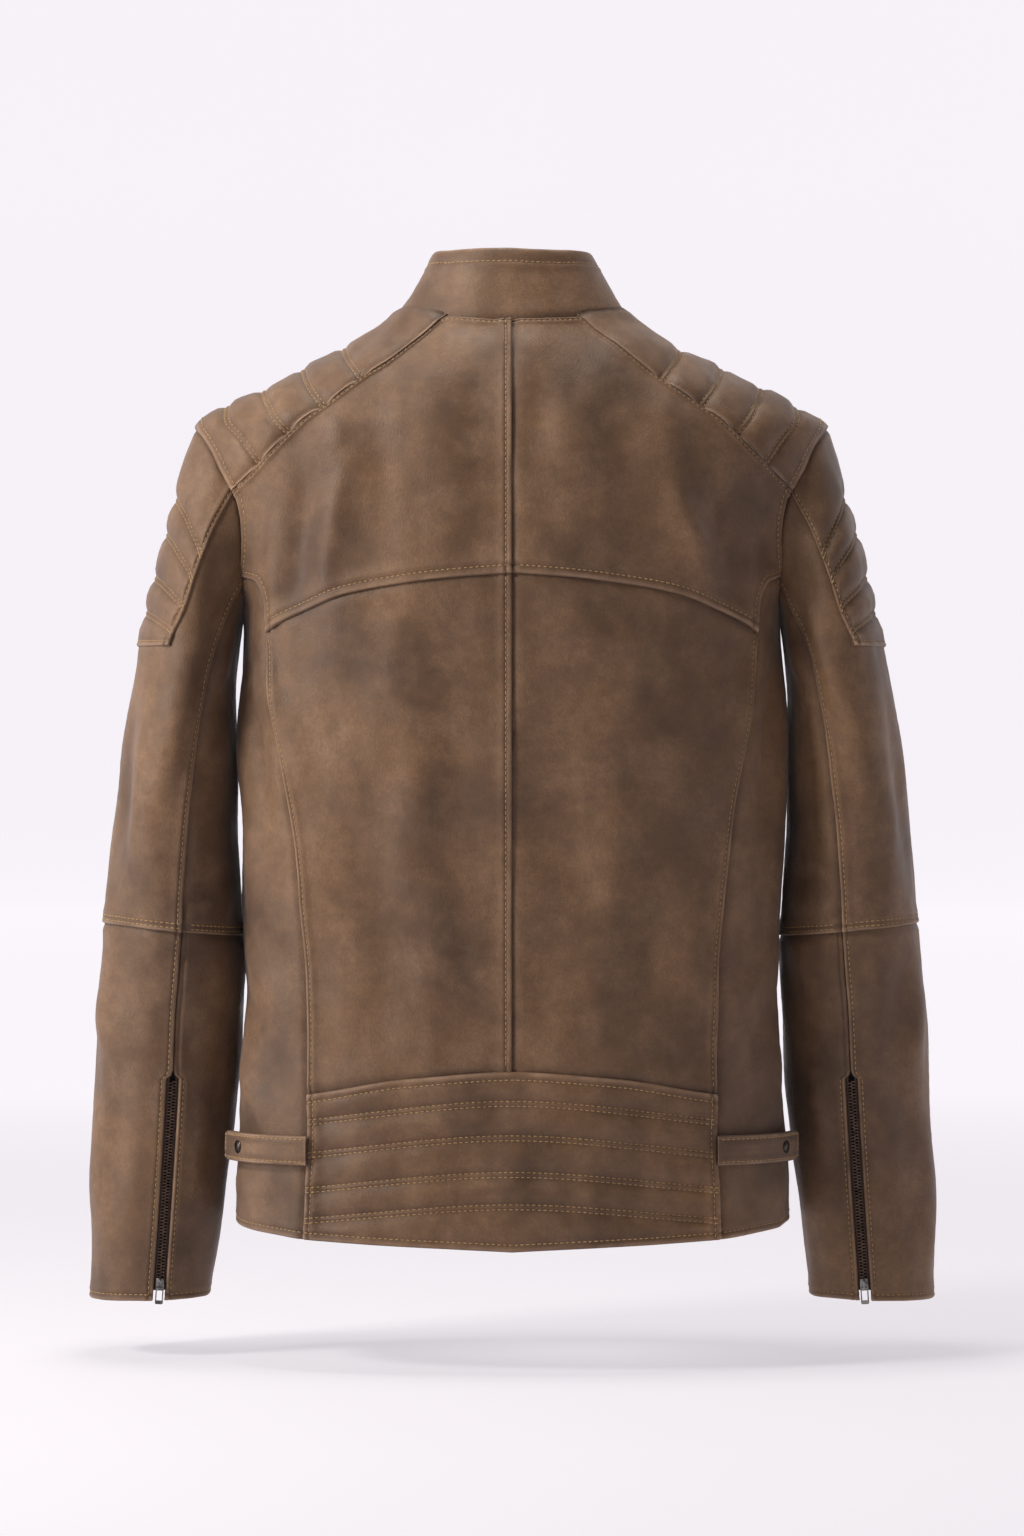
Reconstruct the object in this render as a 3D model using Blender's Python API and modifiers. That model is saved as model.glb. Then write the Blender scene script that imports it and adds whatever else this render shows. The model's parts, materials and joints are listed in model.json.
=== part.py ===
"""A leather riding jacket, as it hangs.

Metres, +Z up. The origin is the centre of the neck at the height of the back neck seam. +X is the wearer's
right and +Y the wearer's front. The body and the sleeves are two smooth surfaces. Every cut piece is a sheet
laid on one of them, thickened inwards, with a narrow gap to its neighbours at the seams. Places on the body
are (turn, height): turn in degrees, 0 at the centre back, 90 at the wearer's right side, 180 at the centre
front. Places on a sleeve are (along, turn): along from 0 at the armhole to 1 at the cuff, turn 0 facing out
and 90 facing back. Left pieces are right pieces with X turned round.
"""

import math

import bmesh
import bpy
from mathutils import Matrix, Vector

# Thicknesses and depths below the outer surface.
LEATHER = 0.0014
LINING = 0.0008
WADDING = 0.0018
WADDING_DEPTH = 0.0030
SHOULDER_WADDING_DEPTH = 0.0050
LINING_DEPTH = 0.0110
SLEEVE_LINING_DEPTH = 0.0080
POCKET_BAG_DEPTH = 0.0034
TAPE_DEPTH = 0.0023
TAPE = 0.0006
SEAM_GAP = 0.0009
WADDING_MARGIN = 0.007
DEGREE_LENGTH = 0.0025
PROBE = 0.002

# The body's outer surface: half width and depth at each height, from the hem up to the neck.
BODY_HALF_WIDTH = [
    (-0.666, 0.200), (-0.600, 0.198), (-0.499, 0.192), (-0.460, 0.191), (-0.407, 0.195), (-0.300, 0.197),
    (-0.200, 0.192), (-0.178, 0.197), (-0.141, 0.205), (-0.115, 0.215), (-0.100, 0.222), (-0.075, 0.225),
    (-0.059, 0.203), (-0.0325, 0.149), (0.0, 0.091), (0.008, 0.082),
]
BACK_DEPTH = [
    (-0.666, 0.108), (-0.550, 0.102), (-0.450, 0.100), (-0.300, 0.108), (-0.180, 0.110), (-0.100, 0.104),
    (-0.050, 0.092), (-0.020, 0.078), (0.0, 0.062), (0.008, 0.056),
]
FRONT_DEPTH_AT_HEM = 0.1183
FRONT_DEPTH_AT_NECK = 0.088
FRONT_DEPTH_AT_TOP = 0.060
BODY_SQUARENESS = [(-0.666, 2.30), (-0.200, 2.25), (-0.060, 2.00)]

# The neck seam and the stand collar on it.
NECK_SIDE_HEIGHT = 0.008
NECK_FRONT_DROP = 0.060
COLLAR_TOP_HEIGHT = 0.053
COLLAR_FRONT_DROP = 0.066
COLLAR_HALF_WIDTH = 0.0555
COLLAR_BACK_DEPTH = 0.046
COLLAR_FRONT_DEPTH = 0.060
COLLAR_END_TURN = 177.0
COLLAR_LINING_DEPTH = 0.0021

# The armhole is a loop on the body's surface, and the sleeve starts on it.
ARMHOLE_TOP = -0.073
ARMHOLE_DROP = 0.127
ARMHOLE_SPREAD = 13.0
ARMHOLE_AT_SEAM = 75.0
ARMHOLE_AT_YOKE = 133.0

# Seams on the body, as (turn, height).
HEM = [(0, -0.6555), (60, -0.6492), (74, -0.6451), (90, -0.6424), (130, -0.6450), (180, -0.6500)]
YOKE_SEAM = [
    (0, -0.1808), (22.4, -0.1841), (38.9, -0.1888), (51.7, -0.1952), (59.7, -0.2036), (66.6, -0.2120),
    (72.4, -0.2215),
]
YOKE_SIDE = [(80.5, -0.1798), (75.2, -0.1850), (73.0, -0.2086), (72.4, -0.2215)]
PRINCESS_SEAM = [(72.4, -0.2215), (64.9, -0.3748), (64.0, -0.4631), (62.5, -0.5470)]
KIDNEY_SIDE = [(62.5, -0.5470), (61.5, -0.6490)]
KIDNEY_TOP = [(-62.5, -0.5470), (-38.2, -0.5350), (0, -0.5295), (38.2, -0.5350), (62.5, -0.5470)]
SHOULDER_BACK_SEAM = [(44.4, 0.0039), (51.9, -0.0271), (61.0, -0.0622), (70.6, -0.1028), (77.4, -0.1201)]
SHOULDER_FRONT_SEAM = [(128.0, -0.0240), (122.0, -0.0460), (114.0, -0.0780), (102.6, -0.1201)]
SIDE_SEAM = [(99.5, -0.1798), (103.5, -0.2500), (106.5, -0.4000), (108.0, -0.6437)]

# The sleeve's outer surface: where its outer and inner lines are at each height, from the cuff up.
SLEEVE_OUTER = [
    (-0.702, 0.3065), (-0.504, 0.3010), (-0.430, 0.2945), (-0.376, 0.289), (-0.304, 0.281), (-0.247, 0.271),
    (-0.204, 0.263), (-0.179, 0.257), (-0.150, 0.250), (-0.123, 0.241), (-0.090, 0.232), (-0.073, 0.225),
]
SLEEVE_INNER = [
    (-0.702, 0.2184), (-0.504, 0.1950), (-0.458, 0.1935), (-0.407, 0.196), (-0.340, 0.1995), (-0.268, 0.199),
    (-0.200, 0.192),
]
OUTER_DROP = 0.629
INNER_DROP = 0.500
INNER_DROP_POWER = 1.3
HALF_DEPTH = [(0.0, 0.050), (0.2, 0.066), (0.35, 0.068), (0.565, 0.062)]
CUFF_HALF_DEPTH = 0.040
ELBOW = 0.565
ELBOW_FORWARD = 0.020
CUFF_FORWARD = 0.040
SLEEVE_HEAD = 0.12

# Seams on a sleeve, as (along, turn).
BACK_SLEEVE_SEAM = [(0.0, 137.0), (0.10, 135.0), (0.205, 126.0), (0.46, 105.0), (0.565, 100.5), (0.68, 98.0),
                    (1.0, 100.5)]
FRONT_SLEEVE_SEAM = [(0.0, -137.0), (0.25, -128.0), (1.0, -130.0)]
PATCH_EDGE = [(0.0, 75.0), (0.035, 79.5), (0.125, 84.0), (0.175, 82.0), (0.25, 72.0)]
PATCH_END = 0.25
PATCH_END_CURVE = 0.035

# Zips: the cuff zip runs in the back sleeve seam, the front zip down the centre front.
CUFF_ZIP_TOP = 0.742
CUFF_ZIP_END = 0.988
ZIP_LEATHER_GAP = 0.0044
TAPE_FROM = 0.0036
TAPE_TO = 0.0130
CHAIN_FROM = 0.0006
CHAIN_TO = 0.0028
CHAIN_TOP = -0.0008
CHAIN_BOTTOM = -0.0032
SLIDER_HALF_WIDTH = 0.0032
SLIDER_PLATE = 0.0009
SLIDER_GAP = 0.0003
BRIDGE_HALF_WIDTH = 0.00025
STAPLE_WINDOW = 0.0015
STAPLE_BAR = 0.0007
STAPLE_HALF_WIDTH = 0.0007
PULL_BAR = 0.0008
PULL_HALF_WIDTH = 0.0029
CUFF_SLIDER_LENGTH = 0.009
CUFF_PULL_LENGTH = 0.0125
FRONT_ZIP_TOP = -0.070
FRONT_ZIP_END = -0.640
FRONT_SLIDER_LENGTH = 0.012
FRONT_PULL_LENGTH = 0.034

# Waist straps, their snaps, the pockets and the hang loop.
STRAP_TOP = -0.5760
STRAP_BOTTOM = -0.5970
STRAP_PATH = [(0.1480, -0.0805), (0.1650, -0.0710), (0.1830, -0.0570), (0.1960, -0.0390), (0.2050, -0.0190)]
SNAP_ON_STRAP = 0.72
SNAP_RADIUS = 0.0046
SNAP_HEIGHT = 0.0016
STUD_RADIUS = 0.0030
STUD_FROM = 0.0004
POCKET_TOP = (136.0, -0.405)
POCKET_BOTTOM = (121.0, -0.530)
WELT_PROUD = 0.0018
LOOP_HALF_LENGTH = 0.030
LOOP_STAND_OFF = 0.0105
LOOP_BACK = -0.0470
LOOP_TOP = -0.0080
LOOP_BOTTOM = -0.0160
LOOP_THICKNESS = 0.0015

# How the grids of the linings, the pocket bags and the sleeves are laid.
LINING_MARGIN = 0.002
LINING_ROW_POWER = 1.4
LINING_FRONT_TURN = 173.0
WELT_TURN = 5.6
BAG_FROM = (113.0, -0.420)
BAG_TO = (143.0, -0.590)
BAG_THICKNESS = 0.0012
PATCH_FROM = 1 / 7
PATCH_MARGIN = 0.0025
FOREARM_MARGIN = 0.0013
ZIP_SIDE_POWER = 1.25
LOWER_ROWS = (0.565, 0.650, 0.730, 0.742, 0.828, 0.914, 1.0)

# Where the sleeves and the straps turn, and the small sizes of the zips and the snaps.
SHOULDER_PIVOT = (0.224, -0.0735)
ELBOW_PIVOT = (0.0822, -0.4335)
BRIDGE_LENGTH = 0.002
STAPLE_MARGIN = 0.0008
CUFF_TAPE_TOP = 0.720
CUFF_TAPE_JOIN = 0.738
CUFF_TAPE_ROWS = 6
FRONT_TAPE_ROWS = 10
TAPE_END = 0.004
CHAIN_STOP = 0.003
STRAP_THICKNESS = 0.0024
STRAP_PIVOT = (0.1480, -0.0790)
SNAP_SEGMENTS = 16
SNAP_TAPER = 0.85
PRESS_GAP = 0.0003
STUD_TURN = 74.0
STUD_HEIGHT = 0.0016

SIDES = ((1, "right"), (-1, "left"))

LEATHER_COLOUR = (0.152, 0.082, 0.050)
LINING_COLOUR = (0.020, 0.017, 0.016)
WADDING_COLOUR = (0.60, 0.58, 0.54)
TAPE_COLOUR = (0.030, 0.020, 0.016)
METAL_COLOUR = (0.16, 0.15, 0.14)


def smooth_value(keys, spot):
    """The value at a spot on a smooth curve through (spot, value) keys, without overshoot."""
    if spot <= keys[0][0]:
        return keys[0][1]
    if spot >= keys[-1][0]:
        return keys[-1][1]
    rises = [(b[1] - a[1]) / (b[0] - a[0]) for a, b in zip(keys, keys[1:])]
    slopes = [rises[0]]
    for before, after in zip(rises, rises[1:]):
        slopes.append(2 * before * after / (before + after) if before * after > 0 else 0.0)
    slopes.append(rises[-1])
    k = max(i for i, key in enumerate(keys[:-1]) if key[0] <= spot)
    span = keys[k + 1][0] - keys[k][0]
    t = (spot - keys[k][0]) / span
    ends = keys[k][1] * (1 + 2 * t) * (1 - t) ** 2 + keys[k + 1][1] * t * t * (3 - 2 * t)
    return ends + span * t * (1 - t) * (slopes[k] * (1 - t) - slopes[k + 1] * t)


def front_depth(height):
    """Straight down the centre front, so that the zip is straight, and shorter above the neck seam."""
    if height > -NECK_FRONT_DROP:
        share = (height + NECK_FRONT_DROP) / (NECK_SIDE_HEIGHT + NECK_FRONT_DROP)
        return FRONT_DEPTH_AT_NECK + (FRONT_DEPTH_AT_TOP - FRONT_DEPTH_AT_NECK) * share
    share = (height + NECK_FRONT_DROP) / (BODY_HALF_WIDTH[0][0] + NECK_FRONT_DROP)
    return FRONT_DEPTH_AT_NECK + (FRONT_DEPTH_AT_HEM - FRONT_DEPTH_AT_NECK) * share


def body_point(turn, height):
    """A point on the body's outer surface: a level superellipse at each height."""
    angle = math.radians(turn)
    half_width = smooth_value(BODY_HALF_WIDTH, height)
    depth = smooth_value(BACK_DEPTH, height) if math.cos(angle) > 0 else front_depth(height)
    power = smooth_value(BODY_SQUARENESS, height)
    sideways = abs(math.sin(angle)) / half_width
    lengthways = abs(math.cos(angle)) / depth
    reach = (sideways**power + lengthways**power) ** (-1 / power)
    return Vector((reach * math.sin(angle), -reach * math.cos(angle), height))


def armhole(turn):
    """The place on the body, as (turn, height), where the armhole passes at a turn of the sleeve."""
    angle = math.radians(turn)
    height = ARMHOLE_TOP - ARMHOLE_DROP * (1 - math.cos(angle)) / 2
    return Vector((90 - ARMHOLE_SPREAD * math.sin(angle), height))


def sleeve_ring(along, turn):
    """A point of the sleeve's own oval, which tilts less and less towards the cuff."""
    outer_height = ARMHOLE_TOP - OUTER_DROP * along
    inner_height = ARMHOLE_TOP - ARMHOLE_DROP - INNER_DROP * along**INNER_DROP_POWER
    outer = Vector((smooth_value(SLEEVE_OUTER, outer_height), 0, outer_height))
    inner = Vector((smooth_value(SLEEVE_INNER, inner_height), 0, inner_height))
    if along < ELBOW:
        forward = ELBOW_FORWARD * along / ELBOW
        half_depth = smooth_value(HALF_DEPTH, along)
    else:
        share = (along - ELBOW) / (1 - ELBOW)
        forward = ELBOW_FORWARD + (CUFF_FORWARD - ELBOW_FORWARD) * share
        half_depth = HALF_DEPTH[-1][1] + (CUFF_HALF_DEPTH - HALF_DEPTH[-1][1]) * share
    angle = math.radians(turn)
    middle = (outer + inner) / 2 + (outer - inner) / 2 * math.cos(angle)
    return middle + Vector((0, forward - half_depth * math.sin(angle), 0))


def sleeve_point(along, turn):
    """A point on the right sleeve's outer surface: the oval, eased onto the armhole at the sleeve head."""
    ring = sleeve_ring(along, turn)
    if along >= SLEEVE_HEAD:
        return ring
    ease = (1 - along / SLEEVE_HEAD) ** 2
    return ring + (body_point(*armhole(turn)) - sleeve_ring(0, turn)) * ease


def neck_height(turn):
    """The height of the neck seam: level at the back, a little up at the sides, dropped at the front."""
    angle = math.radians(turn)
    return NECK_SIDE_HEIGHT * math.sin(angle) ** 2 - NECK_FRONT_DROP * max(0.0, -math.cos(angle)) ** 1.5


def collar_point(turn, rise):
    """A point on the stand collar, rise 0 at the neck seam and 1 at its top edge."""
    angle = math.radians(turn)
    depth = COLLAR_BACK_DEPTH if math.cos(angle) > 0 else COLLAR_FRONT_DEPTH
    height = COLLAR_TOP_HEIGHT - COLLAR_FRONT_DROP * max(0.0, -math.cos(angle)) ** 1.5
    top = Vector((COLLAR_HALF_WIDTH * math.sin(angle), -depth * math.cos(angle), height))
    return body_point(turn, neck_height(turn)).lerp(top, rise)


def route(points):
    """A smooth way through points, as a function of 0 to 1 by length."""
    spots = [Vector(point) for point in points]
    steps = [math.hypot((b[0] - a[0]) * DEGREE_LENGTH, b[1] - a[1]) for a, b in zip(spots, spots[1:])]
    marks = [sum(steps[:k]) / sum(steps) for k in range(len(spots))]

    def place(share):
        return Vector(
            [smooth_value([(mark, spot[axis]) for mark, spot in zip(marks, spots)], share) for axis in (0, 1)]
        )

    return place


def joined(first, second, share):
    """Two ways end to end, the first taking the given share."""
    return lambda t: first(t / share) if t < share else second((t - share) / (1 - share))


def straight(start, finish):
    return lambda t: Vector(start).lerp(Vector(finish), t)


def neck_way(start, finish):
    """The neck seam from one turn to another."""
    return lambda t: Vector((start + (finish - start) * t, neck_height(start + (finish - start) * t)))


def armhole_way(start, finish):
    """The armhole from one turn of the sleeve to another."""
    return lambda t: armhole(start + (finish - start) * t)


def hem_way(start, finish):
    """The hem from one turn to another."""
    def place(t):
        turn = start + (finish - start) * t
        return Vector((turn, smooth_value(HEM, abs(turn))))

    return place


def between(top, bottom, left, right):
    """A place on the body at (across, down), both 0 to 1, between four ways that share their corners."""
    def place(across, down):
        ruled = top(across) * (1 - down) + bottom(across) * down
        sides = left(down) * (1 - across) + right(down) * across
        upper = top(0) * (1 - across) + top(1) * across
        lower = bottom(0) * (1 - across) + bottom(1) * across
        return body_point(*(ruled + sides - upper * (1 - down) - lower * down))

    return place


def trimmed(surface, margin):
    """The surface with the same margin cut from its four edges."""
    count = 12
    width = sum((surface((k + 1) / count, 0.5) - surface(k / count, 0.5)).length for k in range(count))
    height = sum((surface(0.5, (k + 1) / count) - surface(0.5, k / count)).length for k in range(count))
    side = margin / width
    end = margin / height
    return lambda across, down: surface(side + across * (1 - 2 * side), end + down * (1 - 2 * end))


def on_side(surface, side):
    """The surface on the wearer's right (side 1), or turned round to the left (side -1)."""
    def place(across, down):
        point = surface(across, down)
        return Vector((point.x * side, point.y, point.z))

    return place


def lowered(surface, depth, middle):
    """The surface moved inwards by a depth, away from the side that faces out from the middle point."""
    def normal(across, down):
        rightwards = surface(min(1, across + PROBE), down) - surface(max(0, across - PROBE), down)
        downwards = surface(across, min(1, down + PROBE)) - surface(across, max(0, down - PROBE))
        return rightwards.cross(downwards).normalized()

    centre = surface(0.5, 0.5)
    outwards = 1 if normal(0.5, 0.5).dot(centre - middle(centre)) > 0 else -1
    return lambda across, down: surface(across, down) - normal(across, down) * outwards * depth


def body_middle(point):
    return Vector((0, 0, point.z - 0.05))


def sleeve_middle(side):
    """The middle of the sleeve level with a point."""
    def middle(point):
        along = min(1, max(0, (ARMHOLE_TOP - 0.06 - point.z) / OUTER_DROP))
        centre = (sleeve_ring(along, 0) + sleeve_ring(along, 180)) / 2
        return Vector((centre.x * side, centre.y, point.z))

    return middle


def material(name, colour, roughness, metallic=0.0):
    made = bpy.data.materials.new(name)
    made.use_nodes = True
    shader = made.node_tree.nodes["Principled BSDF"]
    shader.inputs["Base Color"].default_value = (*colour, 1)
    shader.inputs["Roughness"].default_value = roughness
    shader.inputs["Metallic"].default_value = metallic
    return made


def new_object(name, mesh, finish, parent=None):
    made = bpy.data.objects.new(name, mesh)
    mesh.materials.append(finish)
    jacket.objects.link(made)
    if parent:
        made.parent = parent
        made.matrix_parent_inverse = parent.matrix_world.inverted()
    return made


def pivot(name, place):
    """An empty on a joint's axis, which the pieces that move on it have as their parent."""
    empty = bpy.data.objects.new(name, None)
    empty.location = place
    jacket.objects.link(empty)
    bpy.context.view_layer.update()
    return empty


def add_grid(bm, surface, columns, rows, middle, skip=None, closed=False):
    """Adds a surface to a mesh as a grid of faces that face out from the middle."""
    grid = []
    for row in range(rows + 1):
        count = columns if closed else columns + 1
        grid.append([bm.verts.new(surface(column / columns, row / rows)) for column in range(count)])
    faces = []
    for row in range(rows):
        for column in range(columns):
            if skip and skip(column, row):
                continue
            after = (column + 1) % columns if closed else column + 1
            corners = [grid[row][column], grid[row + 1][column], grid[row + 1][after], grid[row][after]]
            faces.append(bm.faces.new(corners))
    first = faces[len(faces) // 2]
    first.normal_update()
    centre = first.calc_center_median()
    if first.normal.dot(centre - middle(centre)) < 0:
        for face in faces:
            face.normal_flip()


def sheet(name, surface, columns, rows, thickness, finish, middle, parent=None, skip=None, closed=False):
    """A cut piece: a surface thickened inwards."""
    bm = bmesh.new()
    add_grid(bm, surface, columns, rows, middle, skip, closed)
    loose = [vertex for vertex in bm.verts if not vertex.link_faces]
    bmesh.ops.delete(bm, geom=loose, context="VERTS")
    mesh = bpy.data.meshes.new(name)
    bm.to_mesh(mesh)
    bm.free()
    made = new_object(name, mesh, finish, parent)
    solid = made.modifiers.new("Thickness", "SOLIDIFY")
    solid.thickness = thickness
    solid.offset = -1
    mesh.shade_smooth()
    return made


def body_sheet(name, surface, columns, rows, finish, thickness=LEATHER, depth=0.0, margin=SEAM_GAP, side=1):
    """A cut piece of the body at a depth below its surface."""
    cut = on_side(trimmed(surface, margin), side)
    if depth:
        cut = lowered(cut, depth, body_middle)
    return sheet(name, cut, columns, rows, thickness, finish, body_middle)


def body_surfaces():
    """The cut pieces of the wearer's right half of the body, as surfaces of (across, down)."""
    yoke_seam = route(YOKE_SEAM)
    back_seam = route(SHOULDER_BACK_SEAM)
    front_seam = route(SHOULDER_FRONT_SEAM)
    side_seam = route(SIDE_SEAM)
    kidney_top = route(KIDNEY_TOP)
    neck_corner = SHOULDER_BACK_SEAM[0][0]
    front_corner = SHOULDER_FRONT_SEAM[0][0]
    hem_corner = KIDNEY_SIDE[-1][0]
    back_edge = joined(route(YOKE_SIDE), joined(route(PRINCESS_SEAM), route(KIDNEY_SIDE), 0.76), 0.10)
    return {
        "back_yoke": between(
            joined(neck_way(0, neck_corner), back_seam, 0.24),
            yoke_seam,
            straight((0, 0), YOKE_SEAM[0]),
            joined(armhole_way(ARMHOLE_AT_SEAM, ARMHOLE_AT_YOKE), route(YOKE_SIDE), 0.56),
        ),
        "back_panel": between(
            yoke_seam,
            lambda t: kidney_top(0.5 + t / 2),
            straight(YOKE_SEAM[0], KIDNEY_TOP[len(KIDNEY_TOP) // 2]),
            route(PRINCESS_SEAM),
        ),
        "side_panel": between(
            armhole_way(ARMHOLE_AT_YOKE, 360 - ARMHOLE_AT_YOKE),
            hem_way(hem_corner, SIDE_SEAM[-1][0]),
            back_edge,
            side_seam,
        ),
        "shoulder_panel": between(
            neck_way(neck_corner, front_corner),
            armhole_way(ARMHOLE_AT_SEAM, -ARMHOLE_AT_SEAM),
            back_seam,
            front_seam,
        ),
        "front_panel": between(
            joined(neck_way(front_edge(0).x, front_corner), front_seam, 0.42),
            hem_way(front_edge(1).x, SIDE_SEAM[-1][0]),
            front_edge,
            joined(armhole_way(-ARMHOLE_AT_SEAM, -ARMHOLE_AT_YOKE), side_seam, 0.25),
        ),
    }


def front_edge(t):
    """The edge of the front beside the zip, from the neck seam down to the hem."""
    height = -NECK_FRONT_DROP + (HEM[-1][1] + NECK_FRONT_DROP) * t
    return Vector((180 - math.degrees(math.atan(ZIP_LEATHER_GAP / front_depth(height))), height))


def kidney_surface():
    left_side = [(-turn, height) for turn, height in KIDNEY_SIDE]
    corner = KIDNEY_SIDE[-1][0]
    return between(route(KIDNEY_TOP), hem_way(-corner, corner), route(left_side), route(KIDNEY_SIDE))


def lining_side(front):
    """The edge of the lining: down the shoulder ridge, round the armhole and down the side."""
    ridge = straight((90, NECK_SIDE_HEIGHT), (90, ARMHOLE_TOP))
    round_armhole = armhole_way(0, -180 if front else 180)
    side = straight((90, ARMHOLE_TOP - ARMHOLE_DROP), (90, HEM[3][1]))
    return joined(ridge, joined(round_armhole, side, 0.223), 0.125)


def denser_at_top(surface):
    """The surface with its rows closer together near the neck."""
    return lambda across, down: surface(across, down**LINING_ROW_POWER)


def make_body(leather, lining, wadding):
    surfaces = body_surfaces()
    grids = {"back_yoke": (6, 6), "back_panel": (5, 8), "side_panel": (5, 11), "shoulder_panel": (12, 6),
             "front_panel": (9, 12)}
    for side, word in SIDES:
        for kind, (columns, rows) in grids.items():
            body_sheet(f"{kind}_{word}", surfaces[kind], columns, rows, leather, side=side)
        body_sheet(f"shoulder_wadding_{word}", surfaces["shoulder_panel"], 12, 6, wadding, WADDING,
                   SHOULDER_WADDING_DEPTH, WADDING_MARGIN, side)
    kidney = kidney_surface()
    body_sheet("kidney_panel", kidney, 10, 4, leather)
    body_sheet("kidney_wadding", kidney, 10, 4, wadding, WADDING, WADDING_DEPTH, WADDING_MARGIN)
    back_side = lining_side(front=False)
    back = between(
        neck_way(-90, 90), hem_way(-90, 90), lambda t: Vector((-back_side(t).x, back_side(t).y)), back_side
    )
    body_sheet("back_lining", denser_at_top(back), 12, 9, lining, LINING, LINING_DEPTH, LINING_MARGIN)
    edge_top = Vector((LINING_FRONT_TURN, neck_height(LINING_FRONT_TURN)))
    front = between(
        neck_way(90, LINING_FRONT_TURN),
        hem_way(90, LINING_FRONT_TURN),
        lining_side(front=True),
        straight(edge_top, (LINING_FRONT_TURN, HEM[-1][1])),
    )
    for side, word in SIDES:
        body_sheet(f"front_lining_{word}", denser_at_top(front), 8, 10, lining, LINING, LINING_DEPTH,
                   LINING_MARGIN, side)


def make_collar(leather):
    """The stand collar and its lining, open at the front."""
    def surface(across, down):
        return collar_point(COLLAR_END_TURN * (2 * across - 1), 1 - down)

    outer = trimmed(surface, SEAM_GAP)
    inner = lowered(trimmed(surface, SEAM_GAP), COLLAR_LINING_DEPTH, body_middle)
    sheet("collar_outer", outer, 20, 3, LEATHER, leather, body_middle)
    sheet("collar_lining", inner, 20, 3, LEATHER, leather, body_middle)


def make_hang_loop(leather):
    """A strip inside the back neck that stands away from the lining between its two ends."""
    def surface(across, down):
        x = LOOP_HALF_LENGTH * (2 * across - 1)
        y = LOOP_BACK + LOOP_STAND_OFF * (1 - (x / LOOP_HALF_LENGTH) ** 2)
        return Vector((x, y, LOOP_TOP + (LOOP_BOTTOM - LOOP_TOP) * down))

    sheet("hang_loop", surface, 8, 1, LOOP_THICKNESS, leather, lambda point: Vector((0, -1, point.z)))


def make_pockets(leather, lining):
    """A slanted welt over each hand pocket and the flat bag behind the front leather."""
    def welt(across, down):
        line = Vector(POCKET_TOP).lerp(Vector(POCKET_BOTTOM), down)
        return body_point(line.x + WELT_TURN * (0.5 - across), line.y)

    def bag(across, down):
        turn, height = (low + (high - low) * t for low, high, t in zip(BAG_FROM, BAG_TO, (across, down)))
        return body_point(turn, height)

    for side, word in SIDES:
        body_sheet(f"pocket_welt_{word}", welt, 2, 5, leather, LEATHER, -WELT_PROUD, 0.0, side)
        body_sheet(f"pocket_bag_{word}", bag, 4, 5, lining, BAG_THICKNESS, POCKET_BAG_DEPTH, 0.0, side)


def seam_turn(along, edge, inset=0.0):
    """The turn of a sleeve seam, moved forwards round the sleeve by an inset in metres."""
    turn = smooth_value(edge, along)
    metres_per_degree = (sleeve_point(along, turn + 1) - sleeve_point(along, turn)).length
    return turn - inset / metres_per_degree


def zip_inset(along):
    """How far the leather stands back from the back sleeve seam: nothing above the cuff zip."""
    return ZIP_LEATHER_GAP if along >= CUFF_ZIP_TOP else 0.0


def patch_row(along, turn):
    """Rows round the sleeve head, which rise towards the edges of the quilt patch."""
    rise = along / PATCH_END if along < PATCH_END else (ELBOW - along) / (ELBOW - PATCH_END)
    return along - PATCH_END_CURVE * min(1.0, (turn / PATCH_EDGE[0][1]) ** 2) * rise


def quilt_patch(across, down):
    along = PATCH_END * down
    turn = smooth_value(PATCH_EDGE, along) * (1 - 2 * across)
    return sleeve_point(patch_row(along, turn), turn)


def upper_outer(across, down):
    """The outer half of the upper sleeve, whose grid follows the edges of the quilt patch."""
    along = PATCH_END * down / 0.5 if down < 0.5 else PATCH_END + (ELBOW - PATCH_END) * (down - 0.5) / 0.5
    edge = smooth_value(PATCH_EDGE, along)
    if across < PATCH_FROM:
        turn = seam_turn(along, BACK_SLEEVE_SEAM)
        turn += (edge - turn) * across / PATCH_FROM
    elif across > 1 - PATCH_FROM:
        turn = smooth_value(FRONT_SLEEVE_SEAM, along)
        turn += (-edge - turn) * (1 - across) / PATCH_FROM
    else:
        turn = edge * (1 - 2 * (across - PATCH_FROM) / (1 - 2 * PATCH_FROM))
    return sleeve_point(patch_row(along, turn), turn)


def upper_under(across, down):
    along = ELBOW * down
    start = smooth_value(BACK_SLEEVE_SEAM, along)
    finish = 360 + smooth_value(FRONT_SLEEVE_SEAM, along)
    turn = start + (finish - start) * across
    return sleeve_point(patch_row(along, min(turn, 360 - turn)), turn)


def lower_along(down):
    """Rows of the forearm, with two close together where the cuff zip starts."""
    spot = down * (len(LOWER_ROWS) - 1)
    k = min(int(spot), len(LOWER_ROWS) - 2)
    return LOWER_ROWS[k] + (LOWER_ROWS[k + 1] - LOWER_ROWS[k]) * (spot - k)


def lower_outer(across, down):
    along = lower_along(down)
    start = seam_turn(along, BACK_SLEEVE_SEAM, zip_inset(along))
    share = across**ZIP_SIDE_POWER
    return sleeve_point(along, start + (smooth_value(FRONT_SLEEVE_SEAM, along) - start) * share)


def lower_under(across, down):
    along = lower_along(down)
    start = seam_turn(along, BACK_SLEEVE_SEAM, -zip_inset(along))
    share = across**ZIP_SIDE_POWER
    return sleeve_point(along, start + (360 + smooth_value(FRONT_SLEEVE_SEAM, along) - start) * share)


def sleeve_tube(start, finish):
    """The whole way round the sleeve between two places along it."""
    return lambda across, down: sleeve_point(start + (finish - start) * down, 360 * across)


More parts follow.
